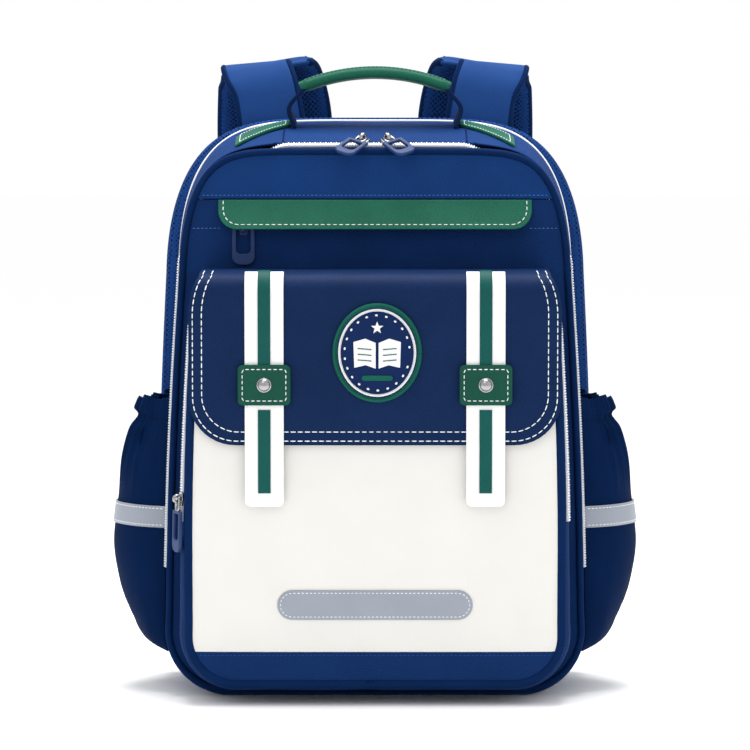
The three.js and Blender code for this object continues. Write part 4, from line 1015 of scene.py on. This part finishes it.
def on_flap(x, s, stand):
    """Points that stand off the flap's outer face; s is the height, and runs on over the bend."""
    edge = np.clip(1 - (FLAP.half - np.abs(x)) / FLAP.edge_turn, 0, 1)
    front = lerp(FLAP.lip_y, FLAP.y, np.clip((s - FLAP.low) / (FLAP.bend - FLAP.low), 0, 1))
    y = front + FLAP.edge_drop * edge * edge
    angle = np.clip(s - FLAP.bend, 0, FLAP_ARC) / FLAP.radius
    onward = np.maximum(s - FLAP.bend - FLAP_ARC, 0)
    reach = FLAP.radius + stand
    back = y + FLAP.radius - reach * np.cos(angle) + onward * np.sin(angle)
    z = np.minimum(s, FLAP.bend) + reach * np.sin(angle) + onward * np.cos(angle)
    return np.stack([x + 0 * s, back, z], -1)


def flap_taper(s):
    """How far the flap's sides draw in towards its rolled top."""
    rise = (s - FLAP.taper_low) / (FLAP.bend + FLAP.radius - FLAP.taper_low)
    return FLAP.taper * np.clip(rise, 0, 1) ** 2


def flap_grid(x, halves, s, stand, columns):
    """Rows of points on the flap, each as wide as its two halves."""
    across = np.linspace(-1, 1, columns + 1)
    return on_flap(x + halves[:, None] * across, s[:, None] + 0 * across, stand)


def flap_levels(high, low, end):
    return np.linspace(high, end, int((high - low) / FLAP.step))


def flap_edge_line(gap):
    """A line of x and s along the flap's sides and lower edge, drawn in by a gap."""
    high = FLAP.bend + FLAP_ARC + FLAP.seam_run
    outline = rounded(FLAP.half - gap, FLAP.low + gap, high, FLAP.corner - gap * FLAP.seam_turn, steps=16)
    line = resampled(open_sides(outline, high), FLAP.seam_points)
    line[:, 0] *= 1 - flap_taper(line[:, 1]) / FLAP.half
    return line


def flap():
    elbow, arc_end = FLAP.low + FLAP.corner, FLAP.bend + FLAP_ARC
    high = arc_end + FLAP.end_y - on_flap(0.0, arc_end, 0)[1]
    turn = np.linspace(0, np.pi / 2, FLAP.corner_rows)[1:]
    s = np.concatenate([flap_levels(high, FLAP.low, elbow), FLAP.low + FLAP.corner * (1 - np.sin(turn))])
    cut = np.clip((elbow - s) / FLAP.corner, 0, 1)
    halves = FLAP.half - FLAP.corner * (1 - np.sqrt(1 - cut**2)) - flap_taper(s)
    grid = wrinkled(flap_grid(0, halves, s, 0, FLAP.columns), FLAP_WRINKLE)
    place(shell("flap_leather", grid, FLAP.wall, NAVY_FLAP, bevel=0.7), "navy_flap", "flap")
    lines = [sewn_on(on_flap, flap_edge_line(gap), FLAP.seam_lift) for gap in FLAP.seams]
    stitches("flap_stitches", "flap", LIGHT_STITCH, lines)


def sewn_bar(node, bar, layer, x):
    """A bar of leather or cloth on the flap. One that goes over the bend is built in rows that follow it."""
    name = f"{node}_bar"
    if bar.high > FLAP.bend:
        s = flap_levels(bar.high, bar.low, bar.low)
        grid = flap_grid(x, np.full_like(s, layer.half), s, layer.stand + layer.wall, STRIP.columns)
        made = shell(name, grid, layer.wall, layer.material, bevel=BAR_EDGE)
    else:
        corners = bar.low_corner, bar.high_corner
        outline = even(rounded(layer.half, bar.low, bar.high, *corners, x, BAR_CORNER_STEPS), TRIM_STEP)
        made = pillow(name, outline, lifted(on_flap, layer.stand), layer.wall, layer.material, BAR_EDGE)
    place(made, layer.slot, node)


def strips():
    """On each side a white strip in two lengths with its green stripes, under a riveted keeper."""
    strip_stand = STRIP.wall + GAP
    keeper_stand = strip_stand + LEATHER + GAP
    white, green, leaf = table("half stand wall material slot", [
        [STRIP.half, GAP, STRIP.wall, WHITE_STRIP, "white_cloth"],
        [STRIPE.half, strip_stand, STRIPE.wall, GREEN_TAPE, "green_tape"],
        [KEEPER.half, strip_stand + GAP, LEATHER, GREEN_DARK, "green_leather"],
    ])
    bars = table("name layer low high low_corner high_corner", [
        ["strip_upper", white, STRIP.split, STRIP.high, 0, 0],
        ["strip_lower", white, STRIP.low, STRIP.split, STRIP.corner, 0],
        ["stripe_upper", green, STRIPE.upper_low, STRIP.high, 0, 0],
        ["stripe_lower", green, STRIPE.lower_low, STRIPE.lower_high, 0, 0],
        ["keeper", leaf, KEEPER.low, KEEPER.high, KEEPER.corner, KEEPER.corner],
    ])
    for side, sign in SIDES.items():
        x = sign * STRIP.x
        for bar in bars:
            sewn_bar(f"{bar.name}_{side}", bar, bar.layer, x)
        sewn = rounded(KEEPER.half - KEEPER.sewn, KEEPER.low + KEEPER.sewn, KEEPER.high - KEEPER.sewn,
                       KEEPER.sewn_corner, KEEPER.sewn_corner, x)
        line = sewn_on(on_flap, closed_line(sewn), keeper_stand)
        stitches(f"keeper_stitches_{side}", "keeper", LIGHT_STITCH, [line])
        lines = []
        for across in (x - STRIP.half + STRIP.sewn, x + STRIP.half - STRIP.sewn):
            for low, high in ((STRIP.low + STRIP.sewn_low, KEEPER.low), (KEEPER.high, STRIP.high)):
                lines.append(sewn_on(on_flap, [(across, low), (across, high)], strip_stand))
        stitches(f"strip_stitches_{side}", "strip", WHITE_THREAD, lines)
        stud(f"stud_{side}", on_flap(x, (KEEPER.low + KEEPER.high) / 2, keeper_stand + STUD_LIFT))


def stud(node, seat):
    """A domed rivet with a flat rim, facing the front."""
    rows = [[seat + [row.radius * math.cos(turn), -row.height, row.radius * math.sin(turn)]
             for turn in turns(STUD_SIDES)] for row in STUD[1:]]
    points = np.concatenate([[seat - [0, STUD[0].height, 0]], *rows, [seat]])
    dome = make_object(f"{node}_dome", points, disc_faces(STUD_SIDES, len(rows)), NICKEL_DARK_REFLECTION)
    place(dome, "steel", node)


def badge():
    """An oval sewn patch: a green rim and a white ring, and on navy a star, an open book, a bar and dots."""
    middle = np.array([BADGE.x, BADGE.z])
    size = np.array([BADGE.half_width, BADGE.half_height])
    turn = turns(BADGE.points)

    def oval(shrink):
        return middle + (size - shrink) * np.stack([np.cos(turn), np.sin(turn)], -1)

    def raised(lift):
        return lifted(on_flap, GAP + lift)

    def motif(name, outline, step, thread, edge, rings):
        outline = even(np.array(outline), step) + middle
        surface = raised(BADGE.wall - MOTIF.sunk)
        place(pillow(f"badge_{name}", outline, surface, MOTIF.wall, thread, edge, rings), "patch")

    ground = pillow("badge_ground", oval(BADGE.ground), raised(0), BADGE.wall, NAVY_THREAD, edge=0.5)
    place(ground, "patch", "badge")
    for cord, thread in zip(BADGE_CORDS, (WHITE_THREAD, GREEN_THREAD)):
        points, outs = sewn_on(raised(cord.lift), closed_line(oval(cord.shrink)), 0.0, step=1.0)
        made = tube(f"badge_{cord.name}", points[:-1], cord.radius, thread, cord.sides, outs[:-1])
        place(made, "patch")
    ahead = tangents(points)
    lean = np.cross(outs, ahead) + BADGE_THREAD.lean * ahead
    place(capsules("badge_rim_threads", points + outs * BADGE_THREAD.lift, lean, outs, BADGE_THREAD.length,
                   BADGE_THREAD.radius, GREEN_THREAD, BADGE_THREAD.dip), "patch")
    for side, sign in SIDES.items():
        motif(f"page_{side}", np.array(PAGE)[::sign] * [sign, 1], 1.5, WHITE_THREAD, 0.4, 10)
    lines = []
    for level in PAGE_LINE.levels:
        for sign in SIDES.values():
            ends = np.array([PAGE_LINE.start, PAGE_LINE.end]) * [sign, 1] + [0, level]
            lines.append(sewn_on(raised(BADGE.wall + PAGE_LINE.lift), ends + middle, 0.0))
    stitches("badge_page_lines", "page", GREEN_THREAD, lines)
    bar = rounded(BADGE_BAR.half, BADGE_BAR.low, BADGE_BAR.high, BADGE_BAR.corner, BADGE_BAR.corner, steps=2)
    motif("bar", bar, 1.2, GREEN_THREAD, 0.4, 4)
    star = [(r * math.sin(k * math.pi / STAR.points), STAR.z + r * math.cos(k * math.pi / STAR.points))
            for k, r in enumerate((STAR.tip, STAR.notch) * STAR.points)]
    motif("star", star[::-1], 0.9, WHITE_THREAD, 0.3, 4)
    dots, outs = sewn_on(raised(BADGE.wall), closed_line(oval(BADGE.dots)), BADGE_DOT.lift, step=1.0)
    every = np.arange(BADGE_DOT.first, len(dots) - BADGE_DOT.first, BADGE_DOT.every)
    place(capsules("badge_dots", dots[every], tangents(dots)[every], outs[every], BADGE_DOT.length,
                   BADGE_DOT.radius, WHITE_THREAD), "patch")


# Side pockets

def gusset_point(form, height, share):
    section = section_at(form, share)
    elbow = section.low + section.corner
    below = np.clip((elbow - height) / section.corner, 0, 1)
    drawn = section.corner * (1 - np.sqrt(1 - below**2))
    x = half_width(section, np.maximum(height, elbow)) - drawn
    return np.stack([x, depth_at(section, height), height], -1)


def gusset_grid(form, heights, shares):
    return np.stack([gusset_point(form, heights, share) for share in shares])


def side_grid(heights, acrosses, lift=0.0):
    """Outer face of the right-hand side pocket: rows from front to back, columns from foot to mouth."""
    pocket = SIDE_POCKET
    seat = gusset_grid(BODY, heights, lerp(pocket.low_share, pocket.high_share, acrosses))
    bulge = curve_values(column(SIDE_PROFILE, "z"), column(SIDE_PROFILE, "bulge"), heights)
    over_hem = heights - pocket.hem
    below, above = smooth((over_hem + pocket.gather) / pocket.gather), smooth(over_hem / pocket.above_run)
    fold = sum(f.size * np.cos(2 * np.pi * f.count * acrosses + f.phase) for f in FOLDS)[:, None]
    gather = fold * (pocket.fold_below * below + pocket.fold_above * above)
    swell = np.maximum(np.sin(np.pi * acrosses), 0)[:, None] ** pocket.round
    edge = smooth(np.minimum(acrosses, 1 - acrosses) / pocket.edge_run)[:, None]
    stand = (bulge + gather) * swell + lerp(pocket.edge_seat, CLOTH + GAP, edge)
    face = seat + grid_normals(seat) * stand[..., None]
    face[..., 2] += (pocket.fold_up * fold - pocket.dip) * smooth(over_hem / pocket.ruffle_run) * swell
    return wrinkled(face, CREASE, lift=lift)


def mirrored(grid, sign):
    return (grid * [sign, 1, 1])[:, ::sign]


def pocket_line(level, acrosses, lift, sign):
    near = side_grid(level + np.array([-1, 1]) * SIDE_POCKET.nudge, acrosses, lift)
    return near.mean(1) * [sign, 1, 1], grid_normals(near).mean(1) * [sign, 1, 1]


def side_pockets():
    heights = np.concatenate([np.linspace(row.low, row.high, row.count, row.last) for row in SIDE_ROWS])
    acrosses = (1 - np.cos(np.linspace(0, np.pi, SIDE_POCKET.columns))) / 2
    band_stand = GAP + SIDE_BAND.wall
    for side, sign in SIDES.items():
        grid = mirrored(side_grid(heights, acrosses), sign)
        # The side pockets take the darker navy, painted shade.
        pocket = shell(f"side_pocket_{side}_cloth", grid, CLOTH, NAVY_SIDE_SHADED)
        place(pocket, "navy_twill", f"side_pocket_{side}")
        levels = np.linspace(SIDE_BAND.low, SIDE_BAND.high, SIDE_BAND.rows)
        band = mirrored(side_grid(levels, acrosses, band_stand), sign)
        tape = shell(f"side_reflector_{side}_tape", band, SIDE_BAND.wall, REFLECTIVE)
        place(tape, "grey_reflective", f"side_reflector_{side}")
        rows = [pocket_line(level, acrosses[SIDE_BAND.sewn_columns], band_stand, sign)
                for level in (SIDE_BAND.low + SIDE_BAND.sewn, SIDE_BAND.high - SIDE_BAND.sewn)]
        stitches(f"side_reflector_{side}_stitches", "tape", LIGHT_STITCH, rows)
        hems = [pocket_line(level, acrosses[SIDE_POCKET.sewn_columns], SIDE_POCKET.hem_lift, sign)
                for level in SIDE_POCKET.hem_seams]
        stitches(f"side_hem_{side}_stitches", "hem", NAVY_ROLL_SHADED, hems)


# Shoulder straps

def strap_frames(rows, sign, count, tilt=0.0):
    """Places and widths along a strap, and directions across it and out of its outer face."""
    path = curve_through([[row.x, row.y, row.z] for row in rows], count) * [sign, 1, 1]
    width = curve_through([[row.width] for row in rows], count)
    ahead = tangents(path)
    level = np.array([math.cos(tilt), 0, -sign * math.sin(tilt)])
    across = unit(level - ahead * (ahead @ level)[:, None])
    return Sizes(path=path, width=width, across=across, out=unit(np.cross(across, ahead)))


def from_ends(count):
    """Steps from the nearer end of a strap, as a column."""
    steps = np.arange(count)[:, None]
    return np.minimum(steps, steps[::-1])


def rounded_bar(bar):
    """The profile of a flat bar with rounded edges: shares of its width, and heights off its outer face."""
    cos, sin = np.cos(turns(bar.sides)), np.sin(turns(bar.sides))
    across = np.sign(cos) * np.abs(cos) ** (2 / bar.square) / 2
    height = np.sign(sin) * np.abs(sin) ** (2 / bar.crown) * bar.wall / 2 - bar.wall / 2
    return np.stack([across, height], -1)


def sweep(name, strap, profile, material, thick=1.0):
    """A profile carried along a strap. thick is a share of its thickness, along the strap."""
    middle = profile[:, 1].mean()
    grid = np.stack([strap.path + strap.across * a * strap.width + strap.out * (middle + (h - middle) * thick)
                     for a, h in profile])
    count, length = grid.shape[:2]
    ends = np.arange(count) * length
    sides = grid_faces(count, length, wrap_rows=True)[:, ::-1]
    weave = np.broadcast_arrays(np.outer(profile[:, 0], strap.width), along(strap.path), profile[:, 1:])
    return make_object(name, grid, [*sides, ends, (ends + length - 1)[::-1]], material, np.stack(weave, -1))


def lining(obj, material, sides, length):
    """Gives the inner half of a swept pad its own cloth."""
    obj.data.materials.append(material)
    inner = np.zeros(len(obj.data.polygons), np.int32)
    inner[sides // 2 * (length - 1):sides * (length - 1)] = 1
    obj.data.polygons.foreach_set("material_index", inner)


def binding(name, strap, bar):
    """Folded tape along both edges of a strap."""
    for end, edge in (("inner", -1), ("outer", 1)):
        across = strap.across * edge * (strap.width / 2 - bar.binding * BINDING_OVERLAP)
        line = strap.path + across - strap.out * bar.wall / 2
        tape = tube(f"{name}_binding_{end}", line, bar.binding, NAVY_ROLL_SHADED, out=strap.out, closed=False)
        place(tape, "navy_twill")


def shoulder_straps():
    for side, sign in SIDES.items():
        node = f"strap_root_{side}"
        root = strap_frames(STRAP_ROOT, sign, ROOT.count, ROOT.tilt)
        place(sweep(f"{node}_cloth", root, rounded_bar(ROOT), NAVY_SMOOTH), "navy_twill", node)
        binding(node, root, ROOT)
        node = f"shoulder_strap_{side}"
        pad, profile = strap_frames(STRAP_PAD, sign, PAD.count, PAD.tilt), rounded_bar(PAD)
        thick = lerp(PAD.end, 1, smooth(from_ends(PAD.count) / PAD.end_run))
        made = sweep(f"{node}_pad", pad, profile, NAVY_SMOOTH, thick)
        lining(made, NAVY_MESH, PAD.sides, PAD.count)
        index = np.arange(PAD.sides * PAD.count).reshape(PAD.sides, PAD.count)
        seam = [index[np.abs(profile[:, 0]) > PAD.seam], index[:, :PAD.held], index[:, -PAD.held:]]
        fill_with_cloth(made, np.concatenate([part.ravel() for part in seam]), PAD.pressure, PAD.limit)
        lines = []
        for edge in SIDES.values():
            line = pad.path + pad.across * edge * PAD.seam * pad.width - pad.out * PAD.sunk
            lines.append((line[PAD.sewn], pad.out[PAD.sewn]))
        stitches(f"{node}_stitches", "strap", NAVY_STITCH, lines)
        place(made, "navy_mesh", node)
        binding(node, pad, PAD)
        lower_strap(side, sign, pad)


def on_back(x, z, stand):
    """Points that stand off the back panel, following its rounded edge."""
    outline = half_outline(BACK)[STEPS.base + 1:MAIN_STEP]
    inside = np.interp(z, outline[:, 1], outline[:, 0]) - np.abs(x)
    edge = BACK_EDGE[3:]
    y = np.interp(inside, column(edge, "inset"), column(edge, "y"))
    return np.stack([x, y + GAP + stand, z], -1)


def lower_strap(side, sign, pad):
    """The buckle under a shoulder pad, its web and the tab at the web's foot."""
    fall = unit(pad.path[-1] - pad.path[-2])
    top = pad.path[-1] + fall * GAP
    move = moved(top, unit([1, 0, 0] - fall * fall[0]), fall)
    b = BUCKLE
    plan = mirrored_plan([(b.half, 0), (b.half, b.length - b.corner), (b.half - b.corner, b.length)], [-1, 1])
    slot_high = b.length - b.slot_edge - b.slot_height
    slots = [mirrored_plan([(-b.slot_half, low), (-b.slot_half, low + b.slot_height)], [-1, 1])
             for low in (b.slot_edge, slot_high)]
    node = f"strap_buckle_{side}"
    buckle = cut_plate(f"{node}_frame", plan, slots, b.wall, b.edge, NAVY_PULL, -b.wall / 2, move)
    place(buckle, "navy_plastic", node)
    start = top + fall * (slot_high + b.slot_height / 2)
    foot = np.array(WEB.foot) * [sign, 1, 1]
    spots = start, lerp(start, foot, 0.5) + [0, WEB.sag, 0], foot
    rows = table(STRAP, [[sign * x, y, z, WEB.width] for x, y, z in spots])
    web = sweep(f"strap_web_{side}_webbing", strap_frames(rows, sign, WEB.count), rounded_bar(WEB), NAVY_WEB)
    place(web, "navy_webbing", f"strap_web_{side}")
    t = FOOT_TAB
    outline = mirrored_plan([(t.half_low, t.low), (t.half_high, t.high)], [-1, 1]) + [sign * t.x, 0]
    node = f"foot_tab_{side}"
    plate = even(outline, TRIM_STEP)
    tab = pillow(f"{node}_cloth", plate, on_back, t.wall, NAVY_SMOOTH, edge=0.6, back=True)
    place(tab, "navy_twill", node)
    sewn = lerp(outline.mean(0), outline, t.sewn)
    lines = [sewn_on(on_back, line, t.wall) for line in (closed_line(sewn), sewn[[0, 2]], sewn[[1, 3]])]
    stitches(f"{node}_stitches", "panel", BLUE_STITCH, lines)


# Carrying handle

HANDLE_RISE = HANDLE.top_z - HANDLE.end_z
HANDLE_RADIUS = (HANDLE.half**2 + HANDLE_RISE**2) / (2 * HANDLE_RISE)
HANDLE_REACH = math.asin(HANDLE.half / HANDLE_RADIUS)


def handle_point(angle, out=0.0):
    r = HANDLE_RADIUS + out
    z = HANDLE.top_z - HANDLE_RADIUS + r * np.cos(angle)
    return np.stack([r * np.sin(angle), HANDLE.y + 0 * angle, z], -1)


def handle():
    angles = np.linspace(-HANDLE_REACH, HANDLE_REACH, HANDLE.count)
    path = handle_point(angles)
    out = unit(handle_point(angles, 1.0) - path)
    ends = from_ends(HANDLE.count)
    close = np.where(ends < HANDLE.end_count, HANDLE.end + HANDLE.end_step * ends, 1.0)
    top = path + out * HANDLE.wall / 2
    bar = Sizes(path=top, width=HANDLE.depth * close, across=np.array([0, -1, 0]), out=out)
    grip = sweep("handle_grip_leather", bar, rounded_bar(HANDLE), GREEN, close)
    place(grip, "green_leather", "handle_grip")
    seam = path + out * HANDLE.wall / 2 * HANDLE.seam_height
    seams = [(seam + [0, sign * HANDLE.seam_y, 0], out) for sign in SIDES.values()]
    stitches("handle_stitches", "grip", GREEN_THREAD, seams)
    for side, sign in SIDES.items():
        handle_web(side, sign)
        handle_tab(side, sign)


def handle_web(side, sign):
    """Webbing from one end of the grip down into the crown."""
    start = handle_point(HANDLE_REACH - HANDLE_WEB.tuck)
    edges = []
    for share in HANDLE_WEB.shares:
        foot = crown_point(HANDLE_WEB.foot_x, share) + [0, 0, GAP]
        waist = [foot[0] + HANDLE_WEB.bow, foot[1], lerp(start[2], foot[2], 0.5)]
        edge = curve_through([[start[0], foot[1], start[2]], waist, foot], HANDLE_WEB.rows)
        edges.append(edge * [sign, 1, 1])
    web = np.stack([lerp(*edges, t) for t in np.linspace(0, 1, HANDLE_WEB.columns)])[::sign]
    made = shell(f"handle_web_{side}_webbing", web, HANDLE_WEB.wall, NAVY_WEB, bevel=0.6)
    place(made, "navy_webbing", f"handle_web_{side}")


def handle_tab(side, sign):
    """A stitched leather wedge on the crown where the handle's webbing goes in."""
    xs = column(HANDLE_TAB, "x")
    rows = []
    for x in np.linspace(xs[0], xs[-1], TAB.rows):
        low, high = (np.interp(x, xs, column(HANDLE_TAB, end)) for end in ("low", "high"))
        rows.append([crown_point(x, share) for share in np.linspace(low, high, TAB.columns)])
    grid = np.array(rows)[::sign] * [sign, 1, 1]
    grid = grid + grid_normals(grid) * (LEATHER + TAB.lift)
    tab = shell(f"handle_tab_{side}_leather", grid, LEATHER + TAB.extra, GREEN, bevel=0.5)
    place(tab, "green_leather", f"handle_tab_{side}")
    outs = grid_normals(grid)
    inner = slice(2, -2)
    lines = [(grid[inner, k], outs[inner, k]) for k in (1, -2)]
    lines += [(grid[k, 1:-1], outs[k, 1:-1]) for k in (2, -3)]
    stitches(f"handle_tab_{side}_stitches", "tape", LIGHT_STITCH, lines)


# Zip sliders and pulls

def pull_outline(half, far, near, radius, steps=10):
    """A loop's outline, square at its near end and rounded at its far end."""
    points = [(near, -half), (near, half)]
    for turn, across in ((90, half - radius), (180, radius - half)):
        for t in range(steps + 1):
            angle = math.radians(turn + 90 * t / steps)
            points.append((far + radius + radius * math.cos(angle), across + radius * math.sin(angle)))
    return points


def zip_slider(name, metal, move):
    s = SLIDER
    half = s.width / 2
    plan = [(-s.length / 2, -s.width * s.tail), (s.waist, -half), (s.length * s.chest, -half),
            (s.length / 2, -s.width * s.nose)]
    plan = mirrored_plan(plan, [1, -1])
    place(cut_plate(f"{name}_body", plan, [], s.base, s.edge, metal, s.base / 2, move), "steel", name)
    reach, crown = (s.arch + s.arch_wall) / 2, s.base + s.arch
    rise = np.array([(-reach, 0, s.base * s.foot), (-reach, 0, crown - s.elbow),
                     (-reach * s.shoulder, 0, crown + s.shoulder_rise), (0, 0, crown + s.top_rise)])
    arch = curve_through(np.concatenate([rise, rise[-2::-1] * [-1, 1, 1]]), s.points)
    bridge = tube(f"{name}_bridge", arch, s.wire, metal, out=[0, 1, 0], closed=False)
    bridge.data.transform(move @ Matrix.Diagonal((1, s.arch_width / (2 * s.wire), 1, 1)))
    place(bridge, "steel")


def zip_pull(name, seat, out, ahead, length, link=0.0, metal=NICKEL_DARK_REFLECTION):
    """A slider on its tape with its hanging pull, in the solids' frame."""
    out, ahead = unit(np.array(out, float)), np.array(ahead, float)
    back = -unit(ahead - out * (ahead @ out))
    move = moved(seat, back, np.cross(out, back))
    zip_slider(name.replace("pull", "slider"), metal, move)
    height, near, p = SLIDER.base + SLIDER.arch / 2, PULL.bar / 2, PULL
    if link:
        outline = pull_outline(LINK.half, near - link, near, LINK.corner)
        hole = pull_outline(LINK.half - LINK.bar, near - link + LINK.bar, near - LINK.bar, LINK.hole_corner)
        ring_link = cut_plate(f"{name}_link", outline, [hole], LINK.wall, LINK.edge, NICKEL_DARK_REFLECTION, height, move)
        place(ring_link, "steel", body=name)
        near, length = near - link + LINK.overlap, length - link + LINK.overlap
    outline = pull_outline(p.width / 2, near - length, near, p.corner)
    hole_far = near - length * (1 - p.foot_share)
    hole = pull_outline(p.width / 2 - p.rim, hole_far, near - p.bar, p.hole_corner)
    loop = cut_plate(f"{name}_loop", outline, [hole], p.wall, p.edge, NAVY_PULL, height, move)
    place(loop, "navy_plastic", name, body=name)


def zip_pulls():
    top = TOP_SLIDER
    crown = ring(BODY, top.share)[CROWN]
    for side, sign in SIDES.items():
        zip_pull(f"top_pull_{side}", crown + [sign * top.x, 0, top.rise], (0, top.slope, 1),
                 (sign * top.outward, top.forward, 0), top.length, top.link)
    side, around = SIDE_SLIDER, np.array([-1, 0, 1])
    near = gusset_grid(BOX, side.z + around * side.near_z, side.share + around * side.near_share)
    out = grid_normals(near)[1, 1] * [-1, 1, 1]
    seat = near[1, 1] * [-1, 1, 1] + out * side.stand
    zip_pull("side_pull", seat, out, (0, 0, -1), side.length, side.link)
    x, z = POCKET_SLIDER.x, POCKET_SLIDER.z
    seat = (x, depth_at(BODY[0], z) - GAP, z)
    zip_pull("pocket_pull", seat, (0, -1, 0), (0, 0, -1), POCKET_SLIDER.length, metal=NAVY_PULL)


# Camera, light and floor

CAMERA = Sizes(place=(0, -2479.2, 401.4), target=(0, -85, 234), lens=164.6, sensor=36)
LIGHTS = table("name place target size power", [
    ["key", (-500, -1500, 1700), (0, -20, 260), 900, 4],
    ["fill", (1300, -1500, 700), (0, -20, 230), 1300, 1],
    ["top", (0, 150, 1700), (0, 20, 300), 900, 34],
])
AMBIENT, FLOOR_HALF = 1.0, 20000


def stand_at(name, data, spot, target):
    """A camera or a light at a spot, turned to its target."""
    obj = add_object(name, data)
    obj.location = Vector(spot) * MM
    obj.rotation_euler = (Vector(target) - Vector(spot)).to_track_quat("-Z", "Y").to_euler()
    return obj


def camera():
    data = bpy.data.cameras.new("camera")
    data.lens, data.sensor_width = CAMERA.lens, CAMERA.sensor
    bpy.context.scene.camera = stand_at("camera", data, CAMERA.place, CAMERA.target)


def studio():
    for row in LIGHTS:
        data = bpy.data.lights.new(row.name, "AREA")
        data.energy, data.size = row.power, row.size * MM
        stand_at(row.name, data, row.place, row.target)
    world = bpy.data.worlds.new("studio")
    world.use_nodes = True
    background = world.node_tree.nodes["Background"]
    background.inputs["Color"].default_value = (1, 1, 1, 1)
    background.inputs["Strength"].default_value = AMBIENT
    bpy.context.scene.world = world
    bpy.context.scene.view_settings.view_transform = "Standard"
    corners = np.array([(-1, -1, 0), (1, -1, 0), (1, 1, 0), (-1, 1, 0)]) * FLOOR_HALF
    make_object("floor", corners, [range(4)], FLOOR)


for step in (camera, studio, main_bag, back_panel, front_panel, box_pocket, flap, strips, badge, side_pockets,
             shoulder_straps, handle, zip_pulls, run_cloth):
    step()
